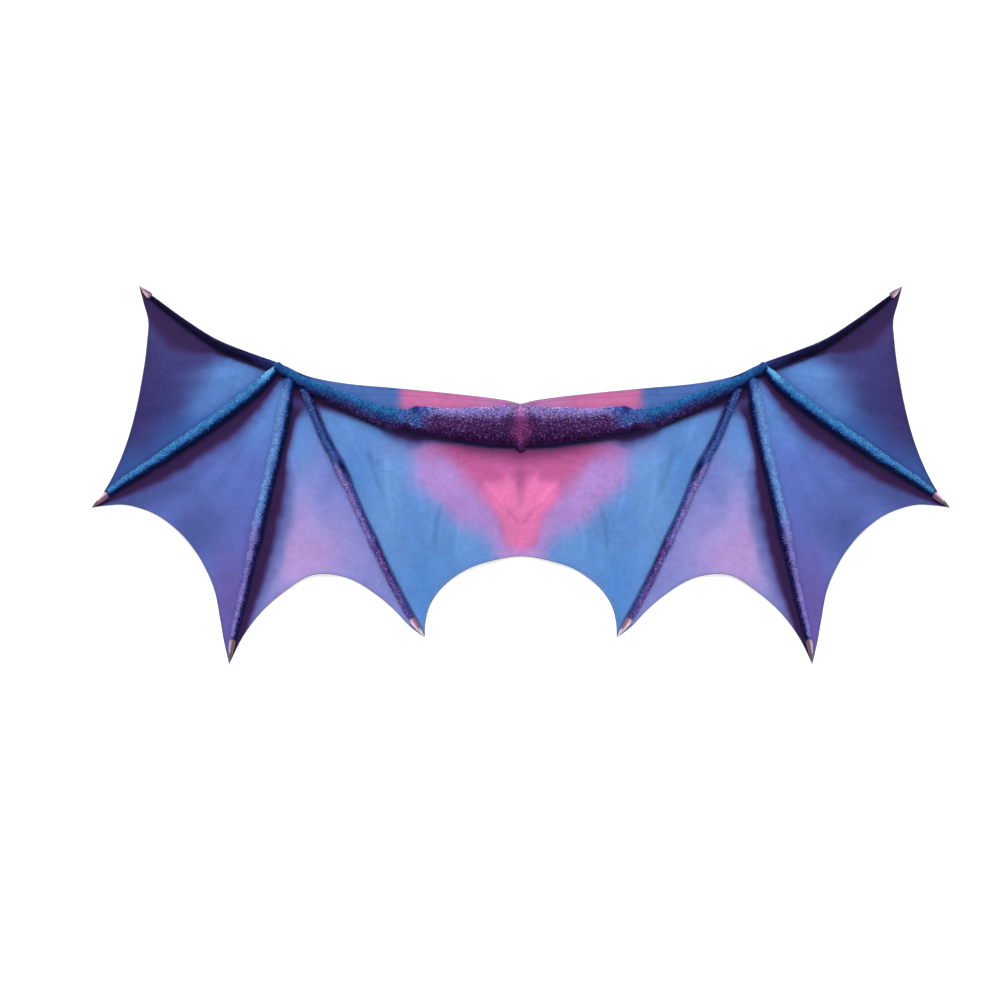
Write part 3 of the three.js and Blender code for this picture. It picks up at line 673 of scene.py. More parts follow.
def shaded(colour, xy, names):
    """Painted shade beside the ribs' dark sides: midnight blue at the edge, maroon over most of the reach, then plum
    and a slate haze beyond.
    """
    for name in names:
        reach_table, strength = SHADES[name]
        gap, side, share = beside(xy, ribs[name], 240)
        reach = np.interp(share, *np.array(reach_table, float).T) * MM
        reach = reach * (1 + 0.1 * soft_noise(xy, 60 * MM, 8) + 0.09 * soft_noise(xy, 14 * MM, 9))
        on_dark_side = smooth(-side * ribs[name].lit_side, -0.5, 0.5)
        haze = 0.8 * strength * (1 - smooth(gap, 0.6 * reach, 1.9 * reach)) * on_dark_side
        colour = colour + (screen("slate") * 0.92 - colour) * haze[..., None]
        cover = strength * (1 - smooth(gap, 0.55 * reach, 1.1 * reach)) * on_dark_side
        outwards = smooth(gap, 0.5 * reach, 1.1 * reach)[..., None]
        tint = screen("maroon") + (screen("plum") - screen("maroon")) * outwards
        tint = tint + (screen("midnight") - tint) * (1 - smooth(gap, 0, 5 * MM))[..., None] * 0.8
        colour = colour + (tint - colour) * cover[..., None]
    return colour


def print_with_painted_shade(xy, name):
    """A panel's whole print at those places: its first dye, its sprays and the painted shades beside its ribs."""
    base, sprays = SPRAYS[name]
    folded = on_right_wing(xy)
    first = np.broadcast_to(screen(base), (*folded.shape[:-1], 3))
    return shaded(sprayed(first, folded, sprays), folded, SHADED_BY[name])


print("sprays:", sum(len(sprays) for _, sprays in SPRAYS.values()))

# %% [markdown]
# ## The cloth's finish
#
# Close up, the cloth is a plain weave with a slight slub: threads a little lighter or darker in short
# streaks both ways, and a faint crackle like the skin of a bat's wing. The streaks are noise stretched along
# X and along Y, and the crackle is the border of Voronoi cells that shows only in patches. All of it stays
# within a few per cent of the dye, because that is how the real print looks.

# %% cloth material


def pieces_colour(add):
    return add("ShaderNodeAttribute", {}, attribute_name="dye").outputs["Color"]


def own_place(add):
    return add("ShaderNodeTexCoord", {}).outputs["Object"]


def stretched_noise(add, scale, detail):
    """Noise in the object's own coordinates, with its own scale along X, Y and Z, in waves per metre."""
    mapped = add("ShaderNodeMapping", {"Vector": own_place(add), "Scale": scale})
    return add("ShaderNodeTexNoise", {"Vector": mapped.outputs[0], "Scale": 1.0, "Detail": detail}).outputs["Fac"]


def between(add, value, low, high, to_low, to_high):
    ends = {"From Min": low, "From Max": high, "To Min": to_low, "To Max": to_high}
    return add("ShaderNodeMapRange", {"Value": value, **ends}).outputs[0]


def mottled(add, waves, detail, low, high):
    """A factor that wanders between low and high as even noise does, with that many waves per metre."""
    return between(add, stretched_noise(add, (waves, waves, waves), detail), 0.3, 0.7, low, high)


def bumped(add, height, strength, distance):
    return add("ShaderNodeBump", {"Height": height, "Strength": strength, "Distance": distance}).outputs[0]


def product(add, a, b):
    return add("ShaderNodeMath", {0: a, 1: b}, operation="MULTIPLY").outputs[0]


def total(add, a, b):
    return add("ShaderNodeMath", {0: a, 1: b}, operation="ADD").outputs[0]


def scaled_colour(add, colour, factor):
    """A colour made lighter or darker by a factor round 1."""
    grey = add("ShaderNodeCombineXYZ", {0: factor, 1: factor, 2: factor}).outputs[0]
    return add("ShaderNodeVectorMath", {0: colour, 1: grey}, operation="MULTIPLY").outputs[0]


def cloth_material(name, crackle_depth, crackle_start):
    material, add, shader = new_material(name)
    slub_x = between(add, stretched_noise(add, (26, 420, 60), 3), 0.3, 0.7, -0.015, 0.015)
    slub_y = between(add, stretched_noise(add, (420, 26, 60), 3), 0.3, 0.7, -0.02, 0.02)
    mottle = total(add, mottled(add, 24, 4, -0.06, 0.05), mottled(add, 95, 3, -0.045, 0.045))
    speck = between(add, stretched_noise(add, (520, 520, 520), 2), 0.25, 0.75, -0.05, 0.05)
    place = own_place(add)
    wander = add("ShaderNodeTexNoise", {"Vector": place, "Scale": 40.0, "Detail": 3.0}).outputs["Color"]
    bent = add("ShaderNodeVectorMath", {0: wander, 1: (0.024, 0.024, 0.0), 2: place}, operation="MULTIPLY_ADD")
    crackle = add("ShaderNodeTexVoronoi", {"Vector": bent.outputs[0], "Scale": 62.0}, feature="DISTANCE_TO_EDGE")
    vein = between(add, crackle.outputs["Distance"], 0.0, 0.07, 1.0, 0.0)
    patches = between(add, stretched_noise(add, (9, 9, 9), 2), crackle_start, 0.66, 0.0, crackle_depth)
    tone = total(add, total(add, slub_x, slub_y), total(add, mottle, speck))
    tone = total(add, total(add, tone, 1.0), product(add, product(add, vein, patches), -1.0))
    thread_x = add("ShaderNodeTexWave", {"Vector": place, "Scale": 190.0, "Distortion": 1.2}, bands_direction="X")
    thread_y = add("ShaderNodeTexWave", {"Vector": place, "Scale": 190.0, "Distortion": 1.2}, bands_direction="Y")
    weave = total(add, thread_x.outputs["Fac"], thread_y.outputs["Fac"])
    relief = total(add, product(add, weave, 0.3), product(add, stretched_noise(add, (150, 150, 150), 3), 1.6))
    fill(shader, {
        "Base Color": scaled_colour(add, pieces_colour(add), tone), "Normal": bumped(add, relief, 0.35, 0.0006),
        "Roughness": mottled(add, 60, 2, 0.56, 0.72), "Specular IOR Level": 0.08, "Sheen Weight": 0.03,
        "Sheen Roughness": 0.5,
    })
    return material


dyed_cloth = cloth_material("dyed_cloth", 0.12, 0.5)
veined_cloth = cloth_material("veined_cloth", 0.16, 0.45)
print("cloth nodes:", len(dyed_cloth.node_tree.nodes))

# %% [markdown]
# ## Cutting, lifting and hemming a panel
#
# The patch gives the plan, the height functions give the rest. A hem is the same cloth folded under, so it
# is thicker for its width, ends in a round edge and has a sewn groove. The rows of the grid are close
# together there and wide apart elsewhere.

# %% panel surface
CREASES = [  # on the right half of the back panel: from, to, half width in mm, height in mm
    ((0.0, 0.525), (0.05, 0.5), 4, 1.1), ((0.0, 0.53), (0.0, 0.4), 5, -1.0), ((0.02, 0.475), (0.075, 0.535), 4, 0.9),
    ((0.03, 0.4), (0.1, 0.5), 5, 0.9), ((0.06, 0.56), (0.17, 0.52), 4, 0.8), ((0.0, 0.36), (0.045, 0.42), 5, -0.8),
    ((0.18, 0.44), (0.2, 0.28), 5, -1.0), ((0.13, 0.4), (0.15, 0.28), 5, 0.8), ((0.24, 0.56), (0.22, 0.36), 6, 0.8),
    ((0.31, 0.6), (0.29, 0.34), 7, 0.8), ((0.36, 0.6), (0.31, 0.42), 6, -0.8), ((0.1, 0.53), (0.2, 0.47), 5, 0.7),
    ((0.2, 0.595), (0.32, 0.61), 4, 0.7), ((0.41, 0.66), (0.34, 0.48), 6, 0.8),
]


def creased(xy, creases):
    """Each crease is a soft ridge, height * exp(-(distance / half width) squared), tapered at its ends."""
    height = np.zeros(xy.shape[:-1])
    folded = on_right_wing(xy)
    for start, end, half_width, rise in creases:
        a, b = places(start), places(end)
        reach = np.linalg.norm(b - a)
        ahead = (b - a) / reach
        away = folded - a
        along = (away @ ahead) / reach
        bow = 0.05 * reach * np.sin(np.pi * np.clip(along, 0, 1))
        across = away[..., 1] * ahead[0] - away[..., 0] * ahead[1] - bow
        taper = smooth(along, -0.05, 0.3) * (1 - smooth(along, 0.65, 1.05))
        height += rise * MM * taper * np.exp(-((across / (half_width * MM)) ** 2))
    return height


def folds(xy, s, t, seed):
    """Long folds fan out with t, tension folds run along the hem with s, and fine crinkles are noise."""
    wander = soft_noise(xy, 90 * MM, seed)
    fan = np.sin(2 * np.pi * (3.2 * t + 0.5 * wander) + seed) * smooth(s, 0.1, 0.45)
    fan += 0.6 * np.sin(2 * np.pi * (6.7 * t + 0.6 * wander) + 2 * seed) * smooth(s, 0.3, 0.7)
    tight = np.sin(2 * np.pi * (5.5 * s + 0.45 * wander)) * smooth(s, 0.45, 0.8) * 4 * t * (1 - t)
    crinkle = 0.5 * soft_noise(xy, 24 * MM, seed + 1) + 0.22 * soft_noise(xy, 10 * MM, seed + 2)
    return (1.0 * fan + 0.6 * tight + 0.6 * crinkle) * MM


def puckers(xy, edge_gap, seed):
    """Small gathers beside the ribs: noise 11 mm across, strongest 7 mm from a rib's edge and gone by 35 mm."""
    near = smooth(edge_gap, 0, 7 * MM) * np.exp(-np.clip(edge_gap, 0, None) / (12 * MM))
    return 1.3 * MM * near * (0.5 + 0.5 * soft_noise(xy, 11 * MM, seed))


def hem_thickness(inset):
    """Extra height over a folded hem: 0.7 mm over its width, with a groove where it is sewn."""
    fold = 0.7 * MM * (1 - smooth(inset, HEM_WIDTH - 1.0 * MM, HEM_WIDTH + 0.8 * MM))
    groove = 0.45 * MM * np.exp(-(((inset - STITCH_INSET) / (0.7 * MM)) ** 2))
    return fold - groove


def panel(name, side_a, side_b, inner, hem, rows, columns, seed, top_hem=False, creases=()):
    """Returns the panel's points, faces, colours, flat area and its stitched rows."""
    length = np.linalg.norm(side_a(np.array(1.0)) - side_a(np.array(0.0)))
    s, t = graded(rows, length, fine_start=top_hem), np.linspace(0, 1, columns)
    xy = patch(side_a, side_b, inner, hem, s, t)
    grid_s, grid_t = np.meshgrid(s, t, indexing="ij")
    row_reach = np.concatenate([[np.zeros(len(t))], np.cumsum(np.linalg.norm(np.diff(xy, axis=0), axis=2), axis=0)])
    inset = row_reach[-1] - row_reach
    if top_hem:
        inset = np.minimum(inset, row_reach)
    edge_gap = near_ribs(xy)
    lift = billow(edge_gap, hem_fade(grid_s))
    free = np.clip(lift / (3 * MM), 0, 1)
    away_from_edge = smooth(inset, 0, 12 * MM)
    height = lift + folds(xy, grid_s, grid_t, seed) * free + puckers(xy, edge_gap, seed + 5) * away_from_edge
    height += creased(xy, creases) * free
    height = np.maximum(height, 0)
    round_edge = np.sqrt(np.clip(inset / (1.2 * MM), 0, 1))
    top = height + CLOTH_THICKNESS * (0.5 + 0.5 * round_edge) + hem_thickness(inset) * round_edge * (edge_gap > 0)
    under = height + CLOTH_THICKNESS * 0.5 * (1 - round_edge)
    upper = np.dstack([xy, top])
    points, faces = slab(upper, np.dstack([xy, under]))
    colour = print_with_painted_shade(xy, name)
    ridge = creased(xy, creases) / MM
    # a painted shade darkens the crease valleys and a painted highlight lightens the crease ridges
    colour = colour * (1 - 0.09 * smooth(-ridge) + 0.05 * smooth(ridge))[..., None]
    edge_line = (1 - smooth(inset, 0.6 * MM, 2.2 * MM))[..., None] * 0.7
    colour = linear(colour + (screen("edge_grey") - colour) * edge_line)
    under_colour = colour * 0.75 + linear(DYES["lavender"]) * 0.12
    colours = np.concatenate([colour.reshape(-1, 3), under_colour.reshape(-1, 3)])
    cell = np.cross(xy[1:, :-1] - xy[:-1, :-1], xy[:-1, 1:] - xy[:-1, :-1])
    area = float(np.abs(cell).sum())
    off_groove = np.abs(inset[:, len(t) // 2] - STITCH_INSET)
    halves = [s < 0.5, s > 0.5] if top_hem else [s < 0.5]
    stitched = [upper[np.argmin(off_groove + 1.0 * other_half)] for other_half in halves]
    flat = [float(v) for v in np.ptp(xy.reshape(-1, 2), axis=0)]
    return points, faces, colours, area, flat, stitched


print("panel surface ready")

# %% cut the seven panels
wrist = places(WRIST)
fourth_seam = seam_side(seams["finger_4"], -1)
BACK_TOP_SHARE = 2 / 14  # of the back panel's rows, above the fourth seam's start


def back_right(share):
    """Straight from the wrist to the fourth seam, then down the seam."""
    share = np.asarray(share)
    above = wrist + (fourth_seam(np.array(0.0)) - wrist) * np.clip(share / BACK_TOP_SHARE, 0, 1)[..., None]
    below = fourth_seam(np.clip((share - BACK_TOP_SHARE) / (1 - BACK_TOP_SHARE), 0, 1))
    return np.where((share < BACK_TOP_SHARE)[..., None], above, below)


def back_left(share):
    return back_right(share) * [-1, 1]


def across_middle(points):
    """A line that runs from the left wing to the right one, over the middle."""
    return [(-x, y) for x, y in points[::-1]] + points[1:]


zero, one = np.array(0.0), np.array(1.0)
fans = {
    "tip_panel": (
        seam_side(Line(places(LEADING_EDGE)), 0, EDGE_TRIM), seam_side(seams["finger_2"], 1, 0), OUTER_EDGE, 88, 100
    ),
    "outer_panel": (seam_side(seams["finger_2"], -1, 0), seam_side(seams["finger_3"], 1), OUTER_HEM, 112, 110),
    "inner_panel": (seam_side(seams["finger_3"], -1), seam_side(seams["finger_4"], 1), INNER_HEM, 112, 104),
}
flat_sizes = {}
hem_rows = {}
for seed, (name, (side_a, side_b, hem_points, rows, columns)) in enumerate(fans.items()):
    hem = hem_between(Line(places(hem_points)), side_a(one), side_b(one))
    inner = straight(side_a(zero), side_b(zero))
    points, faces, colours, area, flat, stitched = panel(
        name, side_a, side_b, inner, hem, rows, columns, 11 + 10 * seed
    )
    material = veined_cloth if name == "tip_panel" else dyed_cloth
    new_pair(name, points, faces, material, colours)
    flat_sizes[name] = (flat, area)
    hem_rows[name] = stitched
print({name: (np.round(flat, 3).tolist(), round(area, 4)) for name, (flat, area) in flat_sizes.items()})

neckline = hem_between(Line(places(across_middle(NECKLINE))), back_left(zero), back_right(zero))
back_hem = hem_between(Line(places(across_middle(BACK_HEM[::-1]))), back_left(one), back_right(one))
points, faces, colours, area, flat, stitched = panel(
    "back_panel", back_left, back_right, neckline, back_hem, 96, 232, 47, top_hem=True, creases=CREASES
)
back_points = points
new_piece("back_panel_dressed", points, faces, dyed_cloth, ("back_panel",), colours)
flat_sizes["back_panel"] = (flat, area)
hem_rows["back_panel"] = stitched
print("back panel:", np.round(flat, 3).tolist(), "m,", round(area, 4), "square metres")

# %% [markdown]
# ## Hem stitches
#
# A sewn hem shows a row of small thread stitches in its groove. Each stitch is a short thick thread: a
# spindle with four sides that arches a little over the cloth. Hundreds are laid at even steps along the
# groove, all in one mesh, with a few dozen faces each.

# %% stitches
STITCH_PITCH = 3.6 * MM
STITCH_LENGTH = 2.6 * MM
THREAD_RADIUS = 0.35 * MM


def stitch_row(path):
    """Threads along a path (n, 3): ring radius is that of half an ellipse, and the middle arches up by one radius."""
    reach = np.concatenate([[0], np.cumsum(np.linalg.norm(np.diff(path, axis=0), axis=1))])
    spots = np.arange(3 * STITCH_PITCH, reach[-1] - 3 * STITCH_PITCH, STITCH_PITCH)
    read = lambda where: np.stack([np.interp(where, reach, path[:, i]) for i in range(3)], -1)
    start, end = read(spots - STITCH_LENGTH / 2), read(spots + STITCH_LENGTH / 2)
    ahead = (end - start) / np.linalg.norm(end - start, axis=1, keepdims=True)
    aside = np.cross([0, 0, 1], ahead)
    up = np.cross(ahead, aside)
    share = np.array([0.0, 0.22, 0.5, 0.78, 1.0])
    radius = THREAD_RADIUS * np.array([0, 0.8, 1, 0.8, 0])
    arch = THREAD_RADIUS * (0.2 + 1.0 * np.sin(np.pi * share))
    middle = start[:, None] + (end - start)[:, None] * share[None, :, None] + up[:, None] * arch[None, :, None]
    turn = np.arange(4) * np.pi / 2 + np.pi / 4
    ring = aside[:, None, None] * np.cos(turn)[:, None] + up[:, None, None] * np.sin(turn)[:, None]
    rings = middle[:, 1:4, None] + ring * radius[None, 1:4, None, None]
    points = np.concatenate([middle[:, :1], rings.reshape(len(spots), 12, 3), middle[:, 4:]], 1)
    around = np.arange(4)
    after = (around + 1) % 4
    quads = np.concatenate([np.stack([1 + 4 * k + around, 1 + 4 * k + after, 5 + 4 * k + after, 5 + 4 * k + around], -1)
                            for k in (0, 1)])
    tips = np.concatenate([np.stack([0 * around, 1 + after, 1 + around], -1),
                           np.stack([13 + 0 * around, 9 + around, 9 + after], -1)])
    offset = np.arange(len(spots))[:, None, None] * 14
    return points.reshape(-1, 3), [(quads[None] + offset).reshape(-1, 4), (tips[None] + offset).reshape(-1, 3)]


def joined(blocks):
    """Several (points, faces) as one."""
    points, faces, start = [], [], 0
    for some_points, some_faces in blocks:
        points.append(some_points)
        faces += [block + start for block in some_faces]
        start += len(some_points)
    return np.concatenate(points), faces


def thread_material():
    material, add, shader = new_material("hem_thread")
    twist = between(add, stretched_noise(add, (900, 900, 900), 1), 0.3, 0.7, 0.8, 1.15)
    fill(shader, {"Base Color": scaled_colour(add, pieces_colour(add), twist), "Roughness": 0.55})
    return material


hem_thread = thread_material()
for name, rows in hem_rows.items():
    points, faces = joined([stitch_row(row) for row in rows])
    colours = linear(print_with_painted_shade(points[:, :2], name) * 0.86)
    if name == "back_panel":
        threads = [new_piece("back_panel_stitches", points, faces, hem_thread, colours=colours)]
    else:
        threads = new_pair(f"{name}_stitches", points, faces, hem_thread, colours, replaces=False)
    flat, area = flat_sizes[name]
    print(name, "stitches:", len(points) // 14)

# %% [markdown]
# ## Padded ribs
#
# Each rib is a loaf: round on top and tucked in to the flat base where it is sewn down. Its profile is
# carried along the rib's line, with the blurred section tables for width and height. Wadding is never quite
# even and looped pile is lumpy, so the surface moves in and out by noise in its own two measures, along the
# rib and round it. A cloth simulation would swell the pads but would lose the knuckles that the tables give.

# %% rib shells
LOAF_TUCK = math.radians(35)
RIB_BASE = CLOTH_THICKNESS + 0.1 * MM
FLECKED_SHARE = 0.45
YARNS, FLECKS = (1, 3, 5), (2, 4, 6)  # their columns in the next table
# Along each rib: share, then yarn and fleck of the lit side, of the crown and of the dark side; the lit side's
# lighter yarns are a painted light and the dark side's darker yarns a painted shade.
PILE_ROWS = {
    "finger_1": [(0, "deep_teal", "deep_teal", "night", "night_blue", "ink_blue", "dusk"),
                 (0.1, "ink_blue", "dusk", "ink_blue", "ink_blue", "ink_blue", "dusk"),
                 (0.2, "ink_blue", "ink_blue", "ink", "ink_blue", "ink", "ink"),
                 (0.34, "ink", "ink", "ink", "ink", "ink", "ink"),
                 (1, "ink", "ink", "ink", "ink", "ink", "ink")],
    "finger_2": [(0, "deep_teal", "teal", "deep_teal", "deep_teal", "night", "night"),
                 (0.03, "sea", "foam", "deep_teal", "sea", "night", "night_blue"),
                 (0.07, "sea", "foam", "lagoon", "surf", "night", "night_blue"),
                 (0.13, "lagoon", "surf", "deep_teal", "surf", "night", "night_blue"),
                 (1, "lagoon", "surf", "deep_teal", "surf", "night", "night_blue")],
    "finger_3": [(0, "deep_teal", "dusk", "deep_teal", "dusk", "navy", "royal"),
                 (0.07, "steel", "mist", "denim", "mist", "navy", "royal"),
                 (0.12, "steel", "pale_sky", "denim", "pale_sky", "night", "royal"),
                 (0.5, "steel", "pale_sky", "denim", "pale_sky", "navy", "royal"),
                 (0.62, "iris", "pale_sky", "twilight", "thread", "navy", "grape"),
                 (1, "iris", "thread", "twilight", "thread", "navy", "grape")],
    "finger_4": [(0, "dusk", "mist", "dusk", "mist", "navy", "dusk"),
                 (0.12, "slate_blue", "mist", "slate_blue", "mist", "navy", "dusk"),
                 (0.33, "slate_blue", "mist", "slate_blue", "mist", "marine", "dusk"),
                 (0.37, "iris", "heather", "night", "dusk", "night", "night"),
                 (0.43, "iris", "heather", "grape", "heather", "marine", "dusk"),
                 (0.66, "iris", "thread", "grape", "heather", "marine", "dusk"),
                 (0.7, "grape", "heather", "fig", "heather", "night", "dusk"),
                 (1, "grape", "heather", "grape", "heather", "marine", "mist")],
    "forearm": [(0, "deep_teal", "deep_teal", "deep_teal", "deep_teal", "night", "night"),
                (0.16, "teal", "deep_teal", "deep_teal", "deep_teal", "night", "night"),
                (0.4, "teal", "wave", "harbour", "wave", "night_plum", "royal"),
                (0.6, "teal", "wave", "harbour", "mist", "night_plum", "mallow"),
                (0.88, "teal", "wave", "harbour", "mist", "night_plum", "mallow"),
                (1, "denim", "cloud_blue", "denim", "cloud_blue", "aubergine", "fig")],
    "upper_arm": [(0, "denim", "cloud_blue", "denim", "cloud_blue", "aubergine", "fig"),
                  (0.06, "denim", "cloud_blue", "denim", "cloud_blue", "aubergine", "fig"),
                  (0.09, "ink_blue", "dusk", "denim", "cloud_blue", "aubergine", "fig"),
                  (0.13, "dusk", "dusk", "denim", "cloud_blue", "aubergine", "fig"),
                  (0.16, "denim", "cloud_blue", "twilight", "cloud_blue", "aubergine", "fig"),
                  (0.26, "iris", "frost", "damson", "mallow", "aubergine", "fig"),
                  (1, "wisteria", "frost", "damson", "mallow", "aubergine", "fig")],
    "spine_knuckle": [(0, "wisteria", "frost", "dusty_rose", "petal", "wisteria", "frost"),
                      (0.14, "wisteria", "frost", "dusty_rose", "petal", "wisteria", "frost"),
                      (0.34, "damson", "mallow", "mulberry", "petal", "damson", "mallow"),
                      (0.6, "berry", "petal", "mulberry", "petal", "berry", "petal"),
                      (0.84, "damson", "mulberry", "berry", "petal", "damson", "mulberry"),
                      (1, "aubergine", "berry", "wine", "berry", "aubergine", "berry")],
}
# from the lit edge (1) to the dark one (-1): where the lit yarn, a painted light, starts and is full, and the
# same for the dark one, a painted shade
ZONES = {
    "finger_1": (-0.1, 0.25, 0.0, 0.35), "finger_2": (-0.3, 0.4, 0.15, 0.75), "finger_3": (-0.4, 0.4, 0.2, 0.75),
    "finger_4": (-0.3, 0.3, 0.45, 0.8), "forearm": (0.05, 0.65, 0.2, 0.65), "upper_arm": (0.2, 0.7, 0.5, 0.8),
    "spine_knuckle": (0.2, 0.7, 0.2, 0.7),
}


def read_rows(rows, along, lit, zones, columns):
    """The colours in those columns of lit side, crown and dark side, read at shares along and blended by lit; the lit
    side's is a painted light and the dark side's a painted shade.
    """
    stations = [row[0] for row in rows]
    lit_side_colour, crown_dye, dark_side_colour = (
        np.stack([np.interp(along, stations, channel) for channel in np.array([screen(row[k]) for row in rows]).T], -1)
        for k in columns
    )
    to_lit = smooth(lit, *zones[:2])[..., None]
    to_dark = smooth(-lit, *zones[2:])[..., None] * (1 - to_lit)
    return lit_side_colour * to_lit + dark_side_colour * to_dark + crown_dye * (1 - to_lit - to_dark)


def shell(name, cell, lumps, inset, first=0.0, last=1.0, round_first=6 * MM, round_last=6 * MM, seed=0):
    """The rib's surface: a loaf carried along the line, with round ends, moved in and out by lumps (size, depth)."""
    rib = ribs[name]
    length = rib.line.length * rib.padded_share * (last - first)
    steps = np.linspace(0, 1, max(12, int(length / cell)))
    close = np.array([0, 0.03, 0.12, 0.3, 0.6])
    u = np.unique(np.concatenate([close * round_first / length, steps, 1 - close * round_last / length]))
    share = first + (last - first) * u
    middle, ahead = rib.line.at(share * rib.padded_share), rib.line.ahead(share * rib.padded_share)
    aside = np.stack([-ahead[:, 1], ahead[:, 0]], -1)
    rounding = np.ones(len(u))
    for amount, distance in ((round_first, u * length), (round_last, (1 - u) * length)):
        if amount:
            rounding *= np.sqrt(np.clip(1 - (1 - np.clip(distance / amount, 0, 1)) ** 2, 0.02, 1))
    half_width = (rib.width * rib.sized(share, 1) / 2 - inset) * rounding
    rise = (rib.height * rib.sized(share, 2) - inset) * rounding / (1 + math.sin(LOAF_TUCK))
    girth = np.pi * (rib.width + rib.height) / 2
    n_top = max(14, int(0.72 * girth / cell))
    angle = np.linspace(-LOAF_TUCK, np.pi + LOAF_TUCK, n_top)
    base_across = np.linspace(-1, 1, max(3, n_top // 5) + 2)[1:-1] * math.cos(LOAF_TUCK)
    across = np.concatenate([np.cos(angle), base_across])
    lift = np.concatenate([math.sin(LOAF_TUCK) + np.sin(angle), np.zeros(len(base_across))])
    side_way, up_way = np.cos(angle) / half_width[:, None], np.sin(angle) / rise[:, None]
    steep = np.hypot(side_way, up_way)
    side_way, up_way = side_way / steep, up_way / steep
    measure = np.stack(np.broadcast_arrays(u[:, None] * length, angle[None] * girth / (2 * np.pi)), -1)
    push = sum(depth * soft_noise(measure, size, seed + k) for k, (size, depth) in enumerate(lumps))
    push = push * smooth(lift[:n_top], 0.05, 0.5) * smooth(rounding, 0.2, 0.9)[:, None]
    plan = middle[:, None] + aside[:, None] * (half_width[:, None] * across)[..., None]
    height = RIB_BASE + rise[:, None] * lift
    plan[:, :n_top] += aside[:, None] * (push * side_way)[..., None]
    height[:, :n_top] += push * up_way
    points = np.concatenate([plan, height[..., None]], -1)
    normal = np.concatenate([aside[:, None] * side_way[..., None], up_way[..., None]], -1)
    lit = np.broadcast_to(across * rib.lit_side, points.shape[:2])
    lit = lit + 0.12 * soft_noise(plan, 11 * MM, seed + 9)
    along = np.broadcast_to(share[:, None], points.shape[:2])
    return {"points": points, "n_top": n_top, "normal": normal, "lit": lit, "along": along}


def closed_tube(points):
    """Points (rows, columns, 3) as a closed tube with a fan over each end."""
    rows, columns = points.shape[:2]
    ends = points[[0, -1]].mean(1)
    here = np.arange(columns)
    after = (here + 1) % columns
    last_row = (rows - 1) * columns
    first = np.stack([np.full(columns, rows * columns), after, here], -1)
    last = np.stack([np.full(columns, rows * columns + 1), last_row + here, last_row + after], -1)
    whole = np.concatenate([points.reshape(-1, 3), ends])
    return whole, [grid_quads(rows, columns, closed=True), np.concatenate([first, last])]


def with_end_points(colour):
    """Colours of a closed tube's points: the grid's, then the mean of each end row for its fan's middle."""
    return np.concatenate([colour.reshape(-1, 3), colour[0].mean(0)[None], colour[-1].mean(0)[None]])


def yarns_with_painted_light(name, along, lit, xy):
    """The pile's yarn and its flecks' yarn, with painted light on the lit side and painted shade on the dark one. Near
    the knuckle an arm takes the knuckle's, beside a dark line.
    """
    base, fleck = (read_rows(PILE_ROWS[name], along, lit, ZONES[name], k) for k in (YARNS, FLECKS))
    if name == "upper_arm":
        knuckle = ribs["spine_knuckle"]
        share = (knuckle.line.points[0, 1] - xy[..., 1]) / knuckle.line.length
        beyond = np.abs(xy[..., 0]) - knuckle.width / 2 * knuckle.sized(np.clip(share, 0, 1), 1)
        beyond = beyond + knuckle.line.length * np.clip(np.abs(share - 0.5) - 0.5, 0, None)
        inside = (1 - smooth(beyond, -3 * MM, 8 * MM))[..., None]
        dark_line = 0.2 * np.exp(-(((beyond - 1 * MM) / (3 * MM)) ** 2))[..., None]
        rows, zones = PILE_ROWS["spine_knuckle"], ZONES["spine_knuckle"]
        side = np.abs(xy[..., 0]) / (knuckle.width / 2)
        base = (base + (read_rows(rows, share, side, zones, YARNS) - base) * inside) * (1 - dark_line)
        fleck = (fleck + (read_rows(rows, share, side, zones, FLECKS) - fleck) * inside) * (1 - dark_line)
    return base, fleck


def shell_colours(form, name, gain):
    """The yarn under the tufts, darkened by a painted shade, most towards the tucked base."""
    colour = gain * yarns_with_painted_light(name, form["along"], form["lit"], form["points"][..., :2])[0]
    depth = smooth(form["points"][..., 2], RIB_BASE, RIB_BASE + 5 * MM)
    return with_end_points(linear(np.clip(colour * (0.78 + 0.12 * depth)[..., None], 0, 255)))


print("yarn tables for", len(PILE_ROWS), "ribs")
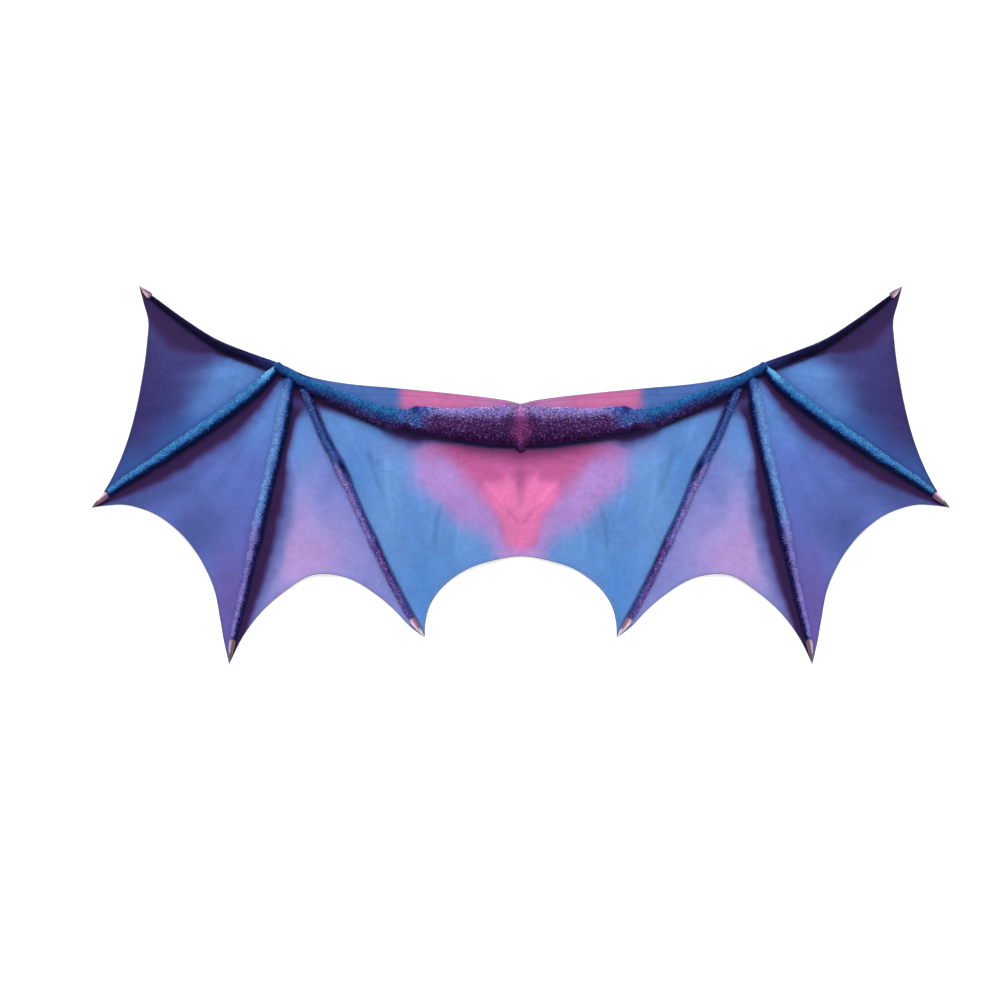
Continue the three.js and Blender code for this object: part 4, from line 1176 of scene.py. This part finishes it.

# %% [markdown]
# ## The pile
#
# The covers are a looped pile whose tufts are about two millimetres thick, each its own shade: from afar
# they read as flecks. Hair particles would give this, but they can't be kept as a mesh of few faces. So each
# tuft is a small bent spindle with three sides, rooted on the rib, leaning its own way. Most take the rib's
# dye, a little lighter or darker, with a painted light on the lit side and a painted shade on the dark side,
# and a share of them takes the pale fleck dye, more on the lit side. A painted shade darkens each tuft's root
# and a painted highlight lightens its tip.

# %% pile tufts


def pile(form, name, gain, area_each, length, radius):
    """Tufts on the covered part of a shell, one for each area_each: foot, middle and tip of a bent spindle."""
    top = form["points"][:, : form["n_top"]]
    cell = np.linalg.norm(np.cross(top[1:, :-1] - top[:-1, :-1], top[:-1, 1:] - top[:-1, :-1]), axis=-1)
    count = int(cell.sum() / area_each)
    i, j = np.unravel_index(rng.choice(cell.size, count, p=(cell / cell.sum()).ravel()), cell.shape)
    fi, fj = rng.random((2, count, 1))

    def read(values):
        low = values[i, j] * (1 - fj) + values[i, j + 1] * fj
        return low * (1 - fi) + (values[i + 1, j] * (1 - fj) + values[i + 1, j + 1] * fj) * fi

    foot, normal = read(top), read(form["normal"])
    along, lit = read(form["along"][..., None])[:, 0], read(form["lit"][..., None])[:, 0]
    normal /= np.linalg.norm(normal, axis=1, keepdims=True)
    lean = rng.normal(size=(count, 3))
    lean -= (lean * normal).sum(1, keepdims=True) * normal
    lean /= np.linalg.norm(lean, axis=1, keepdims=True)
    tilt = np.radians(rng.uniform(30, 72, (count, 1)))
    way = normal * np.cos(tilt) + lean * np.sin(tilt)
    reach = length * rng.uniform(0.7, 1.25, (count, 1))
    thick = radius * rng.uniform(0.75, 1.2, (count, 1))
    across = np.cross(way, normal)
    across /= np.linalg.norm(across, axis=1, keepdims=True)
    other = np.cross(way, across)
    middle = foot + way * reach * 0.5
    tip = foot + way * reach * 0.8 - normal * reach * 0.22
    turn = np.arange(3) * 2 * np.pi / 3
    ring = across[:, None] * np.cos(turn)[None, :, None] + other[:, None] * np.sin(turn)[None, :, None]
    root = (foot - normal * thick * 0.6)[:, None] + ring * thick[:, None] * 0.8
    belly = middle[:, None] + ring * thick[:, None]
    points = np.concatenate([root, belly, tip[:, None]], 1)
    points[..., 2] = np.maximum(points[..., 2], RIB_BASE)
    here, after = np.arange(3), (np.arange(3) + 1) % 3
    quads = np.stack([here, after, after + 3, here + 3], -1)
    tris = np.concatenate([[[0, 2, 1]], np.stack([here + 3, after + 3, np.full(3, 6)], -1)])
    offset = np.arange(count)[:, None, None] * 7
    faces = [(quads[None] + offset).reshape(-1, 4), (tris[None] + offset).reshape(-1, 3)]
    lit = lit + rng.uniform(-0.3, 0.3, count)
    colour, fleck = yarns_with_painted_light(name, along, lit, foot[:, :2])
    clump = soft_noise(foot[:, :2], 5 * MM, 31)[:, None]
    colour = colour * rng.uniform(0.62, 1.3, (count, 1)) * (1 + 0.25 * soft_noise(foot[:, :2], 6 * MM, 32)[:, None])
    chosen = (rng.random((count, 1)) < FLECKED_SHARE + 0.3 * clump) * rng.uniform(0.15, 0.85, (count, 1))
    colour = gain * (colour + (fleck - colour) * chosen)
    # a painted shade darkens each tuft's root and a painted highlight lightens its tip
    shade = np.array([0.6, 0.6, 0.6, 1, 1, 1, 1.12])
    colours = linear(np.clip(colour[:, None] * shade[None, :, None], 0, 255))
    return points.reshape(-1, 3), faces, colours.reshape(-1, 3)


def pile_material():
    material, add, shader = new_material("looped_pile")
    tone = between(add, stretched_noise(add, (480, 480, 480), 3), 0.3, 0.7, 0.82, 1.16)
    relief = stretched_noise(add, (1100, 1100, 1100), 2)
    fill(shader, {
        "Base Color": scaled_colour(add, pieces_colour(add), tone), "Normal": bumped(add, relief, 0.5, 0.0008),
        "Roughness": 0.9, "Specular IOR Level": 0.05, "Sheen Weight": 0.08, "Sheen Tint": (0.3, 0.25, 0.8, 1),
        "Sheen Roughness": 0.4,
    })
    return material


looped_pile = pile_material()
arm_end = 1 - 8.6 * MM / ribs["upper_arm"].line.length
FINE_LUMPS = [(24 * MM, 0.5 * MM), (12 * MM, 0.6 * MM), (5 * MM, 0.4 * MM)]
DEEP_LUMPS = [(30 * MM, 1.2 * MM), (8 * MM, 0.8 * MM), (4 * MM, 0.5 * MM)]
# cell, lumps, inset, first and last share, rounding at each end; the yarn's gain; each tuft's area, length and radius
RIB_MAKING = {
    "finger_1": (2.4, FINE_LUMPS, 1.4, 0.0, 0.995, 2, 3, 1.2, 4.4, 2.2, 0.7),
    "finger_2": (2.6, FINE_LUMPS, 1.7, 0.0, 0.995, 2, 3, 1.4, 4.0, 2.6, 0.8),
    "finger_3": (2.6, FINE_LUMPS, 1.7, 0.0, 0.995, 2, 3, 1.36, 4.0, 2.6, 0.8),
    "finger_4": (2.4, FINE_LUMPS, 1.9, 0.01, 0.995, 4, 3, 1.36, 4.0, 2.6, 0.8),
    "forearm": (2.8, DEEP_LUMPS, 2.0, 0.0, 1.0, 2, 4, 1.24, 4.4, 3.2, 0.95),
    "upper_arm": (3.2, DEEP_LUMPS, 2.6, 0.0, arm_end, 8, 0, 1.28, 4.8, 4.0, 1.1),
    "spine_knuckle": (2.8, DEEP_LUMPS, 2.0, 0.0, 1.0, 8, 8, 1.28, 4.8, 4.0, 1.1),
}
for seed, (name, make) in enumerate(RIB_MAKING.items()):
    cell, lumps, inset, first, last, round_first, round_last, gain, area_each, length, radius = make
    form = shell(name, cell * MM, lumps, inset * MM, first, last, round_first * MM, round_last * MM, 60 + 7 * seed)
    points, faces = closed_tube(form["points"])
    colours = shell_colours(form, name, gain)
    tufts, tuft_faces, tuft_colours = pile(form, name, gain, area_each * MM**2, length * MM, radius * MM)
    if name == "spine_knuckle":
        pads = [new_piece(name + "_dressed", points, faces, looped_pile, (name,), colours)]
        new_piece(name + "_pile", tufts, tuft_faces, looped_pile, colours=tuft_colours)
    else:
        pads = new_pair(name, points, faces, looped_pile, colours)
        new_pair(name + "_pile", tufts, tuft_faces, looped_pile, tuft_colours, replaces=False)
    print(name, "points", len(points), "tufts", len(tufts) // 7)

# %% [markdown]
# ## Claws
#
# A claw is hard and smooth: a curved horn with fine growth rings near its root, a pale painted highlight on
# its lit side, its flank colour over the crown and a painted shade on its dark side. It is the same loaf
# carried to a point, with a sharper crown: a narrow ridge stands on top of the angle's sine.

# %% claws
CLAW_SECTIONS = [(0, 0.82, 0.78), (0.1, 1, 1), (0.3, 0.9, 0.94), (0.55, 0.64, 0.7), (0.8, 0.34, 0.4), (1, 0.06, 0.08)]
# the lit side takes a pale painted highlight, the crown the flank colour and the dark side a painted shade
CLAW_ROWS = [(0, "horn_flank", "horn_flank", "horn_shade"), (0.15, "horn_lit_highlight", "horn_flank", "horn_shade"),
             (0.5, "horn_lit_highlight", "horn_flank", "horn_shade")]
CLAW_ZONES = (0.05, 0.45, -0.25, 0.5)
CLAW_SIZES = {"finger_1": (0.87, 0.82, -1, 1.0), "finger_2": (1.0, 1.0, 1, 1.04), "finger_3": (0.87, 0.91, 1, 0.85),
              "finger_4": (0.93, 1.0, 1, 1.1)}  # shares of the claw's width and height, lit side, tone
CLAW_TIPS = {"finger_1": "horn_flank", "finger_2": "horn_tip", "finger_3": "horn_tip", "finger_4": "horn_point"}


def claw(rib, width, height, lit_side, tone, tip):
    """A horn from the padding's end to the rib's last point: loaf sections, a raised ridge, ripples near the root."""
    table = np.array(CLAW_SECTIONS)
    u = np.concatenate([[0, 0.012, 0.035], np.linspace(0.06, 1, 44)])
    first = rib.padded_share + 0.4 * MM / rib.line.length
    share = first + (1 - first) * u
    middle, ahead = rib.line.at(share), rib.line.ahead(np.minimum(share, 0.996))
    aside = np.stack([-ahead[:, 1], ahead[:, 0]], -1)
    start = np.sqrt(np.clip(1 - (1 - np.clip(u / 0.06, 0, 1)) ** 2, 0.06, 1))
    rings = 1 + 0.035 * np.sin(2 * np.pi * u * 13) * (1 - smooth(u, 0.1, 0.5))
    half_width = width / 2 * np.interp(u, table[:, 0], table[:, 1]) * start * rings
    rise = height * np.interp(u, table[:, 0], table[:, 2]) * start * rings / (1 + math.sin(LOAF_TUCK))
    angle = np.linspace(-LOAF_TUCK, np.pi + LOAF_TUCK, 22)
    ridge = np.exp(-(((angle - np.pi / 2) / 0.35) ** 2)) * 0.16
    base_across = np.linspace(-1, 1, 6)[1:-1] * math.cos(LOAF_TUCK)
    across = np.concatenate([np.cos(angle), base_across])
    lift = np.concatenate([math.sin(LOAF_TUCK) + np.sin(angle) + ridge, np.zeros(4)])
    plan = middle[:, None] + aside[:, None] * (half_width[:, None] * across)[..., None]
    height_above = RIB_BASE + rise[:, None] * lift
    points = np.concatenate([plan, height_above[..., None]], -1)
    lit = np.broadcast_to(across * lit_side, points.shape[:2])
    along = np.broadcast_to(u[:, None], points.shape[:2])
    rows = [*CLAW_ROWS, (0.68, tip, tip, tip), (1, tip, tip, tip)]
    colour = linear(np.clip(tone * read_rows(rows, along, lit, CLAW_ZONES, (1, 2, 3)), 0, 255))
    whole, faces = closed_tube(points)
    return whole, faces, with_end_points(colour)


def claw_material():
    material, add, shader = new_material("polished_claw")
    grain = between(add, stretched_noise(add, (300, 300, 300), 4), 0.3, 0.7, 0.86, 1.1)
    relief = stretched_noise(add, (420, 420, 420), 3)
    fill(shader, {
        "Base Color": scaled_colour(add, pieces_colour(add), grain), "Normal": bumped(add, relief, 0.3, 0.0004),
        "Roughness": mottled(add, 200, 2, 0.28, 0.45), "Coat Weight": 0.35, "Coat Roughness": 0.2,
    })
    return material


polished_claw = claw_material()
for number, (name, (width, height, lit_side, tone)) in enumerate(CLAW_SIZES.items(), 1):
    points, faces, colours = claw(
        ribs[name], width * CLAW_WIDTH, height * CLAW_HEIGHT, lit_side, tone, CLAW_TIPS[name]
    )
    new_pair(f"claw_{number}", points, faces, polished_claw, colours)
print("claws: 8")

# %% [markdown]
# ## Arm bands
#
# Two woven elastic bands are sewn behind the back panel. Elastic is ribbed along its length, because the
# rubber cords run that way, so the band is a thin slab whose two faces are waves across its width. It lies
# close under the cloth, so its height is read from the cloth's own underside.

# %% bands
BAND_WIDTH = 25 * MM
BAND_THICKNESS = 1.2 * MM
BAND_LENGTH = 170 * MM
BAND_MIDDLE = 130 * MM
BAND_CLEARANCE = 0.35 * MM
BAND_DROP = 46 * MM
BAND_RIBS = 9

band_top = places(UPPER_ARM[-2])[1] - ribs["upper_arm"].width / 2 - BAND_DROP
cloth_under = back_points[len(back_points) // 2 :]
n_long, n_wide = 58, 6 * BAND_RIBS + 1
down, out = np.meshgrid(np.linspace(0, 1, n_long), np.linspace(-0.5, 0.5, n_wide), indexing="ij")
band_xy = np.stack([BAND_MIDDLE + out * BAND_WIDTH, band_top - down * BAND_LENGTH], -1)
spine_of_band = np.stack([np.full(n_long, BAND_MIDDLE), band_xy[:, 0, 1]], -1)
near = np.linalg.norm(cloth_under[None, :, :2] - spine_of_band[:, None], axis=2)
near_height = np.array([cloth_under[row < 16 * MM, 2].min() for row in near])
soft_height = blurred(near_height, 6, 3.0)
level = np.maximum(soft_height - 0.4 * MM - BAND_CLEARANCE - BAND_THICKNESS, 0.05 * MM)[:, None]
wave = 0.16 * MM * np.cos(2 * np.pi * BAND_RIBS * out)
round_side = np.sqrt(np.clip((0.5 - np.abs(out)) / 0.03, 0, 1))
upper_z = level + BAND_THICKNESS * (0.5 + 0.36 * round_side) + wave * round_side
lower_z = level + BAND_THICKNESS * (0.5 - 0.36 * round_side) - wave * round_side
band_points, band_faces = slab(np.dstack([band_xy, upper_z]), np.dstack([band_xy, lower_z]))


def elastic_material():
    material, add, shader = new_material("woven_elastic")
    stretch = {"Vector": own_place(add), "Scale": 230.0, "Distortion": 0.6}
    weft = add("ShaderNodeTexWave", stretch, bands_direction="Y").outputs["Fac"]
    fill(shader, {
        "Base Color": (0.02, 0.017, 0.045, 1), "Normal": bumped(add, weft, 0.6, 0.0004),
        "Roughness": mottled(add, 300, 2, 0.6, 0.8),
    })
    return material


new_pair("arm_band", band_points, band_faces, elastic_material())
print("bands lie", round(float(level.min() / MM), 2), "to", round(float(level.max() / MM), 2), "mm up")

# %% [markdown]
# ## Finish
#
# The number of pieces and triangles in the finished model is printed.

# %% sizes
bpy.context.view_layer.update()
triangles = sum(len(polygon.vertices) - 2 for piece in made.values() for polygon in piece.data.polygons)
print("pieces:", len(made), "triangles:", triangles)
